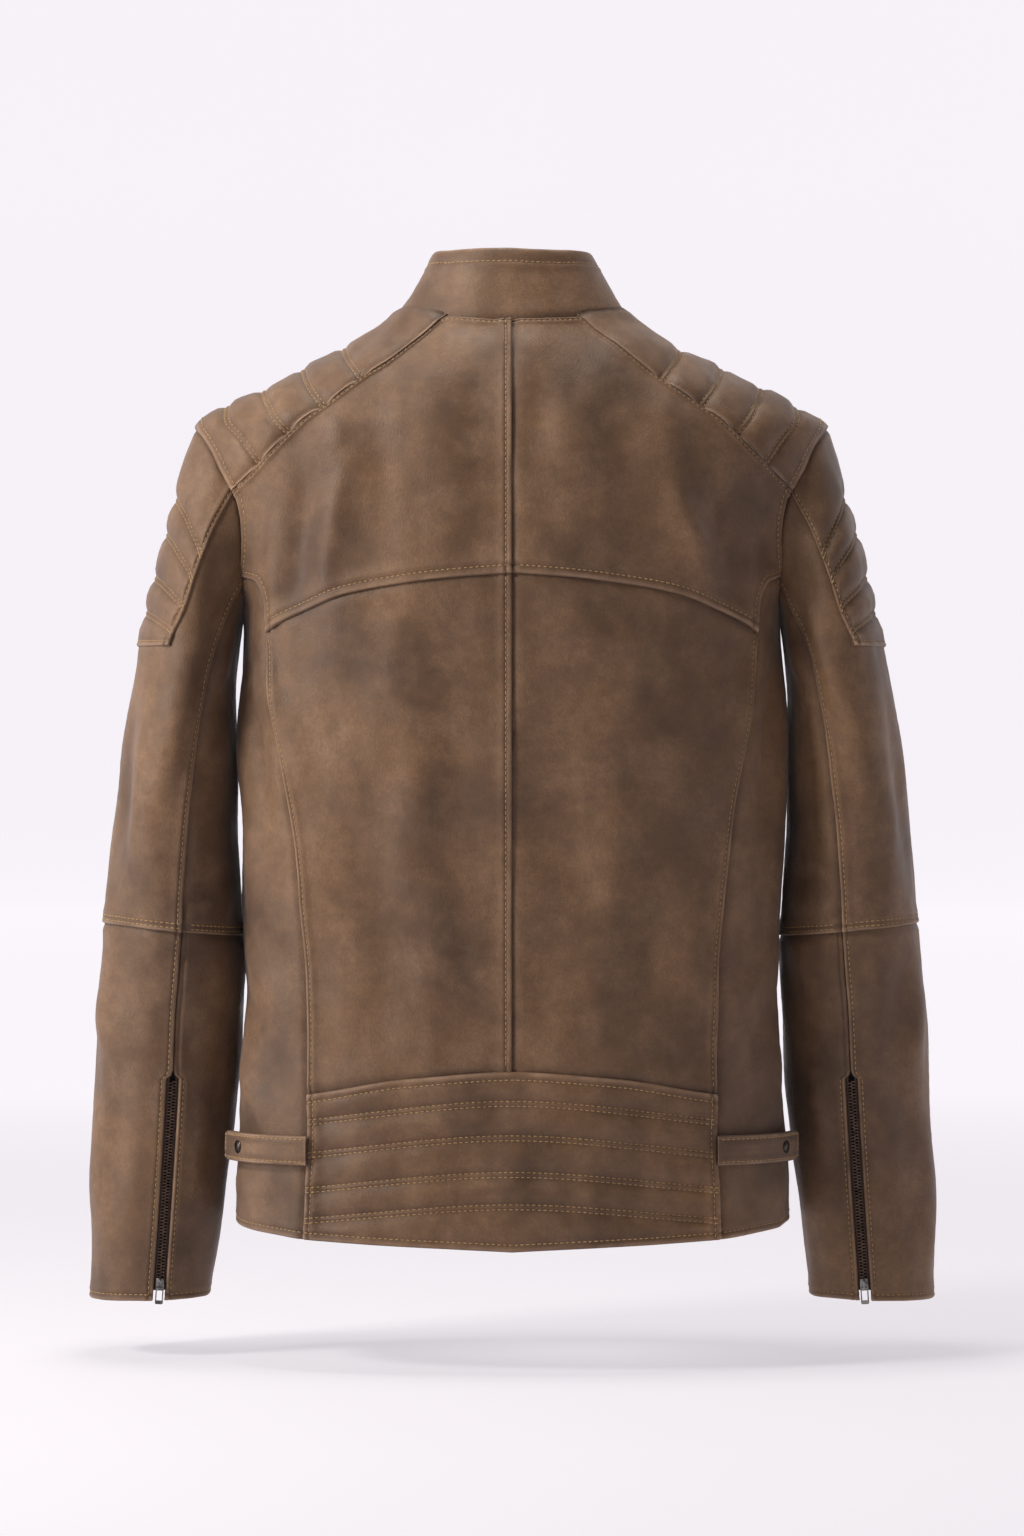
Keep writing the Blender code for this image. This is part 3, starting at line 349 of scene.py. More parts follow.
def marks_beside(lengths, seams, step):
    """Grid marks on each line as lengths and as parameters, the seams' own lengths and the marks' numbers."""
    at = SAMPLES
    anchors = []
    for place, _, _ in seams:
        spots = np.broadcast_to(place(at), at.shape)
        anchors.append(np.array([np.interp(spot, at, line) for spot, line in zip(spots, lengths)]))
    marks, numbers = [], {}
    gaps = [float((after - before).min()) for before, after in zip(anchors[:-1], anchors[1:])]
    room = [math.inf] + [gap * ROOM_SHARE for gap in gaps] + [math.inf]
    kept = [[offset for offset in seam[1] if -room[k] < offset < room[k + 1]] for k, seam in enumerate(seams)]
    for k, offsets in enumerate(kept):
        for offset in offsets:
            numbers[k, round(offset, 5)] = len(marks)
            marks.append(anchors[k] + offset)
        if k + 1 < len(seams):
            start, finish = marks[-1], anchors[k + 1] + kept[k + 1][0]
            count = max(1, round(float(np.mean(finish - start)) / step))
            marks += [start + (finish - start) * n / count for n in range(1, count)]
    marks = np.array(marks)
    spots = []
    for line, column in zip(lengths, marks.T):
        before = np.minimum(column, 0) / line[1] * at[1]
        after = np.maximum(column - line[-1], 0) / (line[-1] - line[-2]) * at[1]
        spots.append(np.interp(column, line, at) + before + after)
    return marks, np.array(spots).T, np.array(anchors), numbers


class Grid:
    """Points laid on a surface of (across, down), with their distances from the seams each way."""

    def __init__(self, surface, columns, rows, step=GRID_STEP, side=1):
        self.side, self.seams = side, {"across": columns, "down": rows}
        coarse = surface(*np.meshgrid(SAMPLES, SAMPLES))
        lengths = lengths_along(coarse)
        column_marks, across_at, column_seams, self.columns = marks_beside(lengths, columns, step)
        turned = lengths_along(coarse.transpose(1, 0, 2))
        row_marks, down_at, row_seams, self.rows = marks_beside(turned, rows, step)
        count_down, count_across = len(row_marks), len(column_marks)
        u = np.repeat(across_at.mean(axis=1)[None, :], count_down, axis=0)
        v = np.empty_like(u)
        for _ in range(ROUNDS):
            for r in range(count_down):
                v[r] = np.interp(u[r], SAMPLES, down_at[r])
            for c in range(count_across):
                u[:, c] = np.interp(v[:, c], SAMPLES, across_at[c])
        self.u, self.v = u, v
        self.across = [
            np.stack([np.interp(v[:, c], SAMPLES, column_marks[c] - seam) for c in range(count_across)], 1)
            for seam in column_seams
        ]
        self.down = [
            np.stack([np.interp(u[r], SAMPLES, row_marks[r] - seam) for r in range(count_down)], 0)
            for seam in row_seams
        ]
        self.points = continued(surface, u, v) * np.array([side, 1, 1])
        # Colour change at each point: rubbed wear and painted highlight above 0, painted shade below 0.
        self.tone = np.zeros(u.shape)


def continued(surface, u, v):
    """The surface at u and v, running straight on beyond its edges."""
    inside_u, inside_v = np.clip(u, 0, 1), np.clip(v, 0, 1)
    base = surface(inside_u, inside_v)
    back_u = surface(np.clip(inside_u, PROBE, 1 - PROBE), inside_v)
    back_v = surface(inside_u, np.clip(inside_v, PROBE, 1 - PROBE))
    share_u = (np.abs(u - inside_u) / PROBE)[..., None]
    share_v = (np.abs(v - inside_v) / PROBE)[..., None]
    return base + (base - back_u) * share_u + (base - back_v) * share_v


def outward_normals(points, middle):
    """Unit normals of a grid of points, facing away from the middle."""
    normals = np.cross(np.gradient(points, axis=1), np.gradient(points, axis=0))
    normals /= np.maximum(np.linalg.norm(normals, axis=-1, keepdims=True), 1e-12)
    facing = np.sum(normals * (points - middle(points)))
    return (normals, True) if facing > 0 else (-normals, False)


def body_middle(points):
    """Points inside the body that its surface faces away from."""
    return points * np.array([0, 0, 1]) - np.array([0, 0, 0.05])


def sleeve_middle(side):
    """The line inside a sleeve that its surface faces away from."""
    def middle(points):
        along = np.clip((ARMHOLE_TOP - 0.06 - points[..., 2]) / OUTER_DROP, 0, 1)
        centre = (sleeve_ring(along, np.zeros_like(along)) + sleeve_ring(along, np.full_like(along, 180))) / 2
        return stacked(centre[..., 0] * side, centre[..., 1], points[..., 2])

    return middle


def edge(profile, width=1.0, at_end=False):
    """Offsets of the grid lines beside an edge."""
    offsets = [round(distance * width, 5) for distance, _ in profile]
    return [-offset for offset in reversed(offsets)] if at_end else offsets


def first(profile, width=1.0):
    """The seam at the start of a grid."""
    return (lambda t: np.zeros_like(t)), edge(profile, width), (profile, width, 1)


def last(profile, width=1.0):
    """The seam at the end of a grid."""
    return (lambda t: np.ones_like(t)), edge(profile, width, at_end=True), (profile, width, -1)


def level(share, offsets):
    """A seam at the same share of a grid all along it."""
    return (lambda t: t * 0 + share), offsets, None


def raised(distance, profile, width=1.0):
    """The profile's height at a distance from its edge."""
    spots, heights = zip(*profile)
    return np.interp(distance, np.array(spots) * width, heights)


# Painted light and wear beside edges and quilting rows. Above 0 is paler: on a raised lip this is partly rubbed
# wear and partly a painted highlight. Below 0 is painted shade in the crease at an edge, in the groove of its
# stitches, along a quilting valley and under a lapped edge.
EDGE_WEAR_AND_PAINTED_LIGHT = [(0.0, -0.7), (0.0004, 0.3), (0.0011, 0.75), (0.0022, 0.35), (0.0040, -0.15), (0.0050, -0.50),
             (0.0060, -0.20), (0.0075, 0.15), (0.0120, 0.0)]
# All painted shade, darkest where the neighbouring piece laps over the edge.
UNDER_EDGE_PAINTED_SHADE = [(-0.0040, -1.0), (0.0, -0.85), (0.0015, -0.55), (0.0040, -0.20), (0.0090, 0.0)]
# Painted shade in the quilting valley, a little paler on the puffs beside it.
ROW_PAINTED_LIGHT = [(0.0, 0.05), (0.0009, -0.05), (0.0017, -0.45), (0.0028, -0.30), (0.0060, 0.12), (0.0110, 0.0)]


# Quilting: a double row of stitches in a narrow valley, with the padding puffed up on both sides.
ROW_APART = 0.0034
VALLEY = [(0.0, -0.0008), (0.0008, -0.0010), (0.0017, -0.0017), (0.0026, -0.0010), (0.0042, -0.0002),
          (0.0070, 0.0008), (0.0105, 0.0014), (0.0140, 0.0016)]
VALLEY_TOP = 0.0016


def quilt_seam(place):
    """A quilting row, with grid lines on both sides of it."""
    spots = [round(spot, 5) for spot, _ in VALLEY]
    return place, [-spot for spot in reversed(spots[1:])] + spots, None


def edge_relief(grid, way):
    """The relief beside a grid's edges one way, whose rubbed wear, painted highlight and painted shade it adds
    to the grid.
    """
    total = 0
    for distance, (_, _, shape) in zip(getattr(grid, way), grid.seams[way]):
        if shape and shape[0] is not PLAIN:
            profile, width, inwards = shape
            total = total + raised(distance * inwards, profile, width)
            # Painted shade under a lapped edge; beside other edges a paler lip, partly rubbed wear and partly
            # painted highlight, and painted shade in the crease and the stitch groove.
            grid.tone += raised(distance * inwards, UNDER_EDGE_PAINTED_SHADE if profile is UNDER else EDGE_WEAR_AND_PAINTED_LIGHT, width)
    return total


def all_edges(grid):
    return edge_relief(grid, "across") + edge_relief(grid, "down")


def quilted(grid, rows):
    """Relief of the quilting at the given seams down a grid, level at 0 away from them; it also paints shade
    along its valleys.
    """
    nearest = np.min([np.abs(grid.down[k]) for k in rows], axis=0)
    # Painted shade along the quilting valleys, a little paler on the puffs.
    grid.tone += raised(nearest, ROW_PAINTED_LIGHT)
    return raised(nearest, VALLEY) - VALLEY_TOP


def new_mesh(name, points, faces):
    mesh = bpy.data.meshes.new(name)
    mesh.from_pydata(points.tolist(), [], faces)
    mesh.shade_smooth()
    return mesh


def tidy_normals(mesh):
    """Turns all the faces of a mesh of closed shells outwards."""
    bm = bmesh.new()
    bm.from_mesh(mesh)
    bmesh.ops.recalc_face_normals(bm, faces=bm.faces)
    bm.to_mesh(mesh)
    bm.free()


def new_object(name, mesh, finish):
    made = bpy.data.objects.new(name, mesh)
    mesh.materials.append(finish)
    bpy.context.scene.collection.objects.link(made)
    return made


def grid_faces(rows, columns, start, flip, closed=False):
    """Quads of a grid of vertices, as an array."""
    numbers = start + np.arange(rows * columns).reshape(rows, columns)
    after = np.roll(numbers, -1, axis=1) if closed else numbers[:, 1:]
    here = numbers if closed else numbers[:, :-1]
    quads = np.stack([here[:-1], here[1:], after[1:], after[:-1]], -1).reshape(-1, 4)
    return quads[:, ::-1] if flip else quads


def rim_faces(rows, columns, flip):
    """Quads that join the edges of an outer grid to those of the inner grid after it."""
    numbers = np.arange(rows * columns).reshape(rows, columns)
    loop = np.concatenate([numbers[0, :-1], numbers[:-1, -1], numbers[-1, :0:-1], numbers[:0:-1, 0]])
    after = np.roll(loop, -1)
    inner = rows * columns
    quads = np.stack([loop, after, after + inner, loop + inner], -1)
    return quads[:, ::-1] if flip else quads


def closed_sheet(name, outer, normals, thickness, finish, flip, tone=None):
    """A sheet of even thickness below a grid of outer points."""
    rows, columns = outer.shape[:2]
    points = np.concatenate([outer.reshape(-1, 3), (outer - normals * thickness).reshape(-1, 3)])
    top = grid_faces(rows, columns, 0, flip)
    bottom = grid_faces(rows, columns, rows * columns, not flip)
    faces = np.concatenate([top, bottom, rim_faces(rows, columns, not flip)])
    mesh = new_mesh(name, points, faces.tolist())
    # The outer points' painted shade, painted highlight and wear, kept for the leather's colour.
    if tone is not None:
        values = np.concatenate([tone.reshape(-1), np.zeros(rows * columns)])
        mesh.attributes.new("tone", "FLOAT", "POINT").data.foreach_set("value", values.astype(np.float32))
    return new_object(name, mesh, finish)


STITCHES = {}


def stitch(group, points, normals):
    """Adds a row of stitches along a line of points to a group."""
    steps = np.linalg.norm(np.diff(points, axis=0), axis=1)
    lengths = np.concatenate([[0], np.cumsum(steps)])
    count = int(lengths[-1] / STITCH_PITCH)
    if count < 1:
        return
    centres = STITCH_PITCH * (np.arange(count) + 0.5)

    def at(values, spots):
        return np.stack([np.interp(spots, lengths, values[:, axis]) for axis in range(3)], -1)

    middle = at(points, centres)
    along = at(points, centres + STITCH_LENGTH / 2) - at(points, centres - STITCH_LENGTH / 2)
    along /= np.linalg.norm(along, axis=1, keepdims=True)
    up = at(normals, centres)
    up -= along * np.sum(up * along, axis=1, keepdims=True)
    up /= np.linalg.norm(up, axis=1, keepdims=True)
    STITCHES.setdefault(group, []).append((middle, along, up))


def stitch_line(group, grid, way, seam, offset, start, end):
    """Stitches along the grid line at an offset from a seam, leaving out lines at its start and end."""
    if way == "down":
        line = grid.rows[seam, round(offset, 5)], slice(start, -end)
    else:
        line = slice(start, -end), grid.columns[seam, round(offset, 5)]
    stitch(group, grid.outer[line], grid.normals[line])


def stitch_edge(group, grid, way, seam, start, end, at=STITCH_AT):
    """Stitches along an edge of the grid, at a distance inside it."""
    _, width, inwards = grid.seams[way][seam][2]
    stitch_line(group, grid, way, seam, inwards * at * width, start, end)


def quilt_stitches(group, grid, rows):
    """A double row of stitches along each quilting row."""
    for seam in rows:
        for offset in (-ROW_APART / 2, ROW_APART / 2):
            stitch_line(group, grid, "down", seam, offset, 2, 2)


# A stitch's rings: place along it, width and lift, the first two as shares of its length and radius.
STITCH_RINGS = ((-0.50, 0.45, -0.00025), (-0.34, 0.95, 0.00012), (0.0, 1.0, 0.00022), (0.34, 0.95, 0.00012),
                (0.50, 0.45, -0.00025))
STITCH_SIDES = 6


def stitches_mesh(name, rows):
    """One mesh of all the stitches of a group, as short padded lengths of thread."""
    middle, along, up = (np.concatenate(parts) for parts in zip(*rows))
    across = np.cross(along, up)
    turns = 2 * np.pi * np.arange(STITCH_SIDES) / STITCH_SIDES
    rings = []
    for spot, wide, lift in STITCH_RINGS:
        ring = middle + along * spot * STITCH_LENGTH + up * lift
        round_it = across[:, None] * np.cos(turns)[None, :, None] + up[:, None] * np.sin(turns)[None, :, None]
        rings.append(ring[:, None] + round_it * THREAD_RADIUS * wide)
    points = np.stack(rings, 1).reshape(-1, 3)
    each = len(STITCH_RINGS) * STITCH_SIDES
    quads = grid_faces(len(STITCH_RINGS), STITCH_SIDES, 0, False, closed=True).tolist()
    caps = [list(range(STITCH_SIDES))[::-1], list(range(each - STITCH_SIDES, each))]
    shape = [face[::-1] for face in quads + caps]
    faces = [[number + each * k for number in face] for k in range(len(middle)) for face in shape]
    mesh = new_mesh(name, points, faces)
    tidy_normals(mesh)
    return mesh


# Soft folds in the leather, as ridges (or valleys, where the height is below 0) between two places.
BODY_FOLDS = [
    ((51.0, -0.100), (59.0, -0.200), 0.009, 0.0034), ((60.0, -0.108), (66.0, -0.205), 0.010, -0.0034),
    ((69.0, -0.150), (70.0, -0.215), 0.007, 0.0020), ((40.0, -0.080), (46.0, -0.180), 0.016, -0.0020),
    ((74.0, -0.225), (62.0, -0.330), 0.010, 0.0030), ((79.0, -0.235), (72.0, -0.360), 0.010, -0.0034),
    ((85.0, -0.240), (78.0, -0.420), 0.012, 0.0030), ((92.0, -0.250), (88.0, -0.430), 0.012, -0.0026),
    ((84.0, -0.440), (66.0, -0.500), 0.011, 0.0026), ((88.0, -0.470), (70.0, -0.530), 0.011, -0.0026),
    ((86.0, -0.520), (72.0, -0.575), 0.010, 0.0026), ((82.0, -0.600), (76.0, -0.640), 0.012, 0.0022),
    ((70.0, -0.600), (66.0, -0.640), 0.010, -0.0018), ((30.0, -0.230), (38.0, -0.420), 0.022, 0.0022),
    ((14.0, -0.240), (20.0, -0.480), 0.024, -0.0018), ((48.0, -0.320), (44.0, -0.510), 0.020, -0.0022),
    ((8.0, -0.030), (14.0, -0.150), 0.020, -0.0016), ((24.0, -0.040), (26.0, -0.160), 0.018, 0.0016),
    ((140.0, -0.120), (128.0, -0.240), 0.014, 0.0030), ((132.0, -0.200), (126.0, -0.400), 0.016, -0.0026),
    ((150.0, -0.250), (146.0, -0.480), 0.022, 0.0024), ((120.0, -0.460), (146.0, -0.520), 0.014, 0.0022),
]
SLEEVE_FOLDS = [
    ((0.020, 100.0), (0.200, 92.0), 0.009, -0.0030), ((0.100, 104.0), (0.420, 74.0), 0.010, 0.0034),
    ((0.080, 122.0), (0.360, 104.0), 0.010, -0.0030), ((0.300, 60.0), (0.540, 52.0), 0.014, 0.0026),
    ((0.300, 40.0), (0.520, 26.0), 0.014, -0.0022), ((0.100, 150.0), (0.260, 120.0), 0.009, 0.0030),
    ((0.480, 150.0), (0.520, 104.0), 0.007, -0.0028), ((0.505, 156.0), (0.556, 100.0), 0.008, 0.0026),
    ((0.545, 150.0), (0.600, 90.0), 0.008, -0.0028), ((0.580, 152.0), (0.640, 80.0), 0.009, 0.0028),
    ((0.600, 40.0), (0.700, 64.0), 0.011, -0.0024), ((0.640, 20.0), (0.740, 50.0), 0.012, 0.0026),
    ((0.680, 60.0), (0.900, 44.0), 0.013, -0.0022), ((0.700, 130.0), (0.900, 120.0), 0.012, 0.0022),
    ((0.780, 20.0), (0.960, 30.0), 0.014, 0.0022), ((0.420, -60.0), (0.560, -90.0), 0.012, 0.0026),
    ((0.640, -60.0), (0.860, -70.0), 0.014, -0.0024), ((0.200, -80.0), (0.420, -70.0), 0.014, 0.0024),
]


FOLD_STRENGTH = 1.6


def strokes(points, folds, surface, side):
    """The height of a set of folds at points: each rises and dies away along its length."""
    total = np.zeros(points.shape[:-1])
    for start, finish, width, height in folds:
        ends = surface(np.array([start, finish])) * np.array([side, 1, 1])
        run = ends[1] - ends[0]
        share = (points - ends[0]) @ run / (run @ run)
        nearest = ends[0] + np.clip(share, 0, 1)[..., None] * run
        apart = points - nearest
        bend = 0.25 * width * np.sin(2 * np.pi * share)[..., None] * np.array([1, 0, 0])
        gap = np.sum((apart + bend) ** 2, -1)
        swell = np.sin(np.pi * np.clip(share * 0.8 + 0.1, 0, 1)) ** 1.5
        total += height * np.exp(-gap / width**2) * swell
    return total


# Ripples: (how far they are drawn out downwards, size, seed, height).
BODY_RIPPLES = ((0.50, 0.060, 11, 0.0013), (0.65, 0.026, 15, 0.00045), (1.0, 0.011, 12, 0.00011))
SLEEVE_RIPPLES = ((0.40, 0.055, 13, 0.0014), (0.6, 0.024, 16, 0.00045), (1.0, 0.011, 14, 0.00011))

# The leather lies flatter beside the zips and under the waist straps.
CALM_BY_FRONT_ZIP = 0.045
CALM_BY_CUFF_ZIP = (0.004, 0.026)
STRAP_HEIGHT = -0.5865
STRAP_CALM = 0.012
STRAP_FROM = 0.135
LEFT_UNDER_STRAP = 0.25
SUNK_UNDER_STRAP = 0.0008


def creased(points, side, folds, surface, waves):
    """The height of a set of folds and of ripples over them."""
    height = strokes(points, folds, surface, side) * FOLD_STRENGTH
    for drawn_out, size, seed, rise in waves:
        height = height + ripples(points * np.array([1.0, 1.0, drawn_out]), size, seed) * rise
    return height


def body_folds(points, side):
    height = creased(points, side, BODY_FOLDS, body_point, BODY_RIPPLES)
    beside_zip = np.where(points[..., 1] > 0, eased(np.abs(points[..., 0]) / CALM_BY_FRONT_ZIP), 1.0)
    clear = eased((np.abs(points[..., 2] - STRAP_HEIGHT) - STRAP_CALM) / STRAP_CALM)
    clear = np.where((points[..., 1] < 0.0) & (np.abs(points[..., 0]) > STRAP_FROM), clear, 1.0)
    share = LEFT_UNDER_STRAP + (1 - LEFT_UNDER_STRAP) * clear
    return height * beside_zip * share - SUNK_UNDER_STRAP * (1 - clear)


def sleeve_folds(points, side):
    height = creased(points, side, SLEEVE_FOLDS, sleeve_point, SLEEVE_RIPPLES)
    ends = sleeve_point(np.array([[CUFF_ZIP_TOP, 98.6], [1.0, 100.5]])) * np.array([side, 1, 1])
    run = ends[1] - ends[0]
    share = np.clip((points - ends[0]) @ run / (run @ run), 0, 1)
    apart = np.linalg.norm(points - ends[0] - share[..., None] * run, axis=-1)
    return height * eased((apart - CALM_BY_CUFF_ZIP[0]) / CALM_BY_CUFF_ZIP[1])


# Finishes.
def node(tree, kind, **values):
    """A shader node with values for its inputs."""
    made = tree.nodes.new(kind)
    for name, value in values.items():
        made.inputs[name].default_value = value
    return made


def noise(tree, place, scale, detail=4.0, roughness=0.5):
    """A cloudy value at a place."""
    made = node(tree, "ShaderNodeTexNoise", Scale=scale, Detail=detail, Roughness=roughness)
    tree.links.new(place, made.inputs["Vector"])
    return made.outputs["Fac"]


def mixed(tree, share, a, b):
    """A colour between two, by a share that is a socket or a number."""
    mix = tree.nodes.new("ShaderNodeMix")
    mix.data_type = "RGBA"
    for socket, value in ((mix.inputs[0], share), (mix.inputs[6], a), (mix.inputs[7], b)):
        if isinstance(value, bpy.types.NodeSocket):
            tree.links.new(value, socket)
        else:
            socket.default_value = value
    return mix.outputs[2]


def stretched(tree, value, low, high, bottom=0.0, top=1.0):
    """A value turned from low..high into bottom..top, held at both ends."""
    made = tree.nodes.new("ShaderNodeMapRange")
    for name, number in (("From Min", low), ("From Max", high), ("To Min", bottom), ("To Max", top)):
        made.inputs[name].default_value = number
    tree.links.new(value, made.inputs["Value"])
    return made.outputs["Result"]


def colour(code):
    """A scene colour from its six-digit screen code."""
    parts = [int(code[k:k + 2], 16) / 255 for k in (0, 2, 4)]
    return (*[((c + 0.055) / 1.055) ** 2.4 if c > 0.04045 else c / 12.92 for c in parts], 1)


def finish_base(name, roughness, metallic=0.0):
    """A new finish with its shader nodes, its shader and the place on the object."""
    made = bpy.data.materials.new(name)
    made.use_nodes = True
    shader = made.node_tree.nodes["Principled BSDF"]
    shader.inputs["Roughness"].default_value = roughness
    shader.inputs["Metallic"].default_value = metallic
    place = made.node_tree.nodes.new("ShaderNodeTexCoord").outputs["Object"]
    return made, made.node_tree, shader, place


def bumped(tree, shader, height, strength, distance):
    """Roughens a shader's surface by a height."""
    bump = node(tree, "ShaderNodeBump", Strength=strength, Distance=distance)
    tree.links.new(height, bump.inputs["Height"])
    tree.links.new(bump.outputs["Normal"], shader.inputs["Normal"])


def leather_finish(name, dark, main, pale, edge_wear_and_highlight):
    """Waxed brown leather: cloudy colour with a fine grain, paler on ridges (rubbed wear and painted highlight)
    and with painted shade in grooves and under lapped edges.
    """
    made, tree, shader, place = finish_base(name, 0.56)
    cloud = stretched(tree, noise(tree, place, 11.0, 5.0, 0.55), 0.34, 0.66)
    patch = stretched(tree, noise(tree, place, 30.0, 6.0, 0.62), 0.42, 0.72)
    mottle = stretched(tree, noise(tree, place, 95.0, 8.0, 0.68), 0.36, 0.64)
    speck = stretched(tree, noise(tree, place, 420.0, 3.0, 0.7), 0.25, 0.75)
    base = mixed(tree, cloud, dark, main)
    base = mixed(tree, stretched(tree, patch, 0.0, 1.0, 0.0, 0.42), base, pale)
    base = mixed(tree, stretched(tree, mottle, 0.0, 1.0, 0.0, 0.42), base, dark)
    base = mixed(tree, stretched(tree, speck, 0.0, 1.0, 0.0, 0.44), base, dark)
    # Painted light and wear from the pieces: values above 0 turn the leather paler and values below 0 darker,
    # broken up by noise.
    tone = tree.nodes.new("ShaderNodeAttribute")
    tone.attribute_name = "tone"
    uneven = node(tree, "ShaderNodeMath")
    uneven.operation = "MULTIPLY"
    tree.links.new(tone.outputs["Fac"], uneven.inputs[0])
    tree.links.new(stretched(tree, noise(tree, place, 45.0, 4.0), 0.3, 0.65, 0.25, 1.1), uneven.inputs[1])
    # Paler lips: partly rubbed wear, partly painted highlight.
    base = mixed(tree, stretched(tree, uneven.outputs[0], 0.05, 1.0, 0.0, 0.50), base, edge_wear_and_highlight)
    # Painted shade: dark brown in creases, stitch grooves, quilting valleys and under lapped edges.
    base = mixed(tree, stretched(tree, uneven.outputs[0], -0.05, -1.0, 0.0, 0.62), base, colour("2a1b12"))
    tree.links.new(base, shader.inputs["Base Color"])
    shader.inputs["Specular IOR Level"].default_value = 0.30
    shader.inputs["Sheen Weight"].default_value = 0.12
    shader.inputs["Sheen Roughness"].default_value = 0.5
    cells = node(tree, "ShaderNodeTexVoronoi", Scale=900.0)
    tree.links.new(place, cells.inputs["Vector"])
    grain = tree.nodes.new("ShaderNodeMath")
    grain.operation = "ADD"
    tree.links.new(cells.outputs["Distance"], grain.inputs[0])
    tree.links.new(noise(tree, place, 300.0, 5.0, 0.7), grain.inputs[1])
    bumped(tree, shader, grain.outputs[0], 0.28, 0.0006)
    rough = stretched(tree, noise(tree, place, 60.0, 4.0), 0.3, 0.7, 0.48, 0.66)
    tree.links.new(rough, shader.inputs["Roughness"])
    return made


def cloth_finish(name, dark, pale, scale, roughness=0.85, strength=0.3):
    """Woven or brushed cloth, with a fine regular bump and slightly uneven colour."""
    made, tree, shader, place = finish_base(name, roughness)
    weave = node(tree, "ShaderNodeTexWave", Scale=scale, Distortion=1.2, Detail=2.0)
    tree.links.new(place, weave.inputs["Vector"])
    spread = mixed(tree, noise(tree, place, scale * 0.4), dark, pale)
    tree.links.new(spread, shader.inputs["Base Color"])
    bumped(tree, shader, weave.outputs["Fac"], strength, 0.0004)
    return made


def metal_finish(name, dark, pale, roughness):
    """Worn metal of uneven colour and polish."""
    made, tree, shader, place = finish_base(name, roughness, 1.0)
    spread = mixed(tree, stretched(tree, noise(tree, place, 240.0), 0.35, 0.65), dark, pale)
    tree.links.new(spread, shader.inputs["Base Color"])
    worn = stretched(tree, noise(tree, place, 500.0, 3.0), 0.3, 0.7, roughness - 0.08, roughness + 0.12)
    tree.links.new(worn, shader.inputs["Roughness"])
    return made


# The last colour is the paler lip, partly rubbed wear and partly painted highlight.
LEATHER_FINISH = leather_finish(
    "leather", colour("4b3524"), colour("7c5c3f"), colour("94745b"), colour("b3947a")
)
LINING_FINISH = cloth_finish("lining", colour("2a2625"), colour("3a3533"), 700.0)
WADDING_FINISH = cloth_finish("wadding", colour("cfcabf"), colour("e2ded4"), 160.0, 0.95, 0.6)
TAPE_FINISH = cloth_finish("zip_tape", colour("33261f"), colour("46352b"), 900.0)
THREAD_FINISH = cloth_finish("thread", colour("86683f"), colour("a98a60"), 1500.0, 0.7)
TEETH_FINISH = metal_finish("zip_teeth", colour("3a2f29"), colour("5b4a40"), 0.42)
METAL_FINISH = metal_finish("zip_metal", colour("4c4a48"), colour("8b8987"), 0.36)
SNAP_FINISH = metal_finish("snap_metal", colour("2b2725"), colour("57504b"), 0.34)

# The body named for each kind of piece, where it isn't the torso; sleeve pieces and waist straps are not put on
# it.
MOVING = {
    "sleeve_patch": "sleeve_upper", "sleeve_wadding": "sleeve_upper", "upper_sleeve_outer": "sleeve_upper",
    "upper_sleeve_under": "sleeve_upper", "upper_sleeve_lining": "sleeve_upper",
    "forearm_outer": "forearm", "forearm_under": "forearm", "forearm_lining": "forearm",
    "cuff_zip_tape": "forearm", "cuff_zip_chain": "forearm",
    "cuff_zip_slider": "cuff_slider", "cuff_zip_pull": "cuff_pull",
    "waist_strap": "strap", "strap_snap": "strap", "front_zip_slider": "front_slider",
    "front_zip_pull": "front_pull",
}
# The body above each part of a sleeve, where the bend between them starts, and its run.
BLEND_AT = {
    "sleeve_upper": ("torso", (0.208, 0.0, -0.137), (0.0629, 0.0, -0.0164)),
    "forearm": ("sleeve_upper", (0.0, 0.0, -0.436), (0.0, 0.0, -0.094)),
}
BLENDED = ("sleeve_patch", "sleeve_wadding", "upper_sleeve_outer", "upper_sleeve_under", "upper_sleeve_lining",
           "forearm_outer", "forearm_under", "forearm_lining")


def bent_strap(made):
    """Bakes a strap's place into its mesh; the strap is not bent."""
    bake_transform(made)


def bent(made, body, side):
    """Bakes a sleeve piece's place into its mesh; it is neither bent nor put on a body."""
    word = "right" if side > 0 else "left"
    above, start, run = BLEND_AT[body]
    start = np.array(start) * np.array([side, 1, 1])
    above = above if above == "torso" else f"{above}_{word}"
    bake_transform(made)


def placed(made, node_name):
    """Hides the node that a piece replaces and puts the piece on that node's body; sleeve pieces and waist
    straps are only baked in place, on no body.
    """
    kind, _, word = node_name.rpartition("_")
    if word not in SIDE_OF:
        kind, word = node_name, ""
    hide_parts(node_name)
    body = MOVING.get(kind)
    if kind in BLENDED:
        bent(made, body, SIDE_OF[word])
    elif kind == "waist_strap":
        bent_strap(made)
    elif body:
        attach(made, f"{body}_{word}" if word else body)
    else:
        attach(made, "torso")
    return made


def leather_piece(name, grid, relief, folds=body_folds, middle=body_middle, thickness=LEATHER):
    """A cut piece of leather from its grid, relief and folds. The grid keeps its outer points and normals."""
    grid.normals, flip = outward_normals(grid.points, middle)
    height = relief + folds(grid.points, grid.side)
    grid.outer = grid.points + grid.normals * height[..., None]
    # Painted shade, painted highlight and wear beside edges and quilting rows, held to -1..1.
    tone = np.clip(grid.tone, -1, 1)
    made = closed_sheet(f"visual_{name}", grid.outer, grid.normals, thickness, LEATHER_FINISH, flip, tone)
    return placed(made, name)


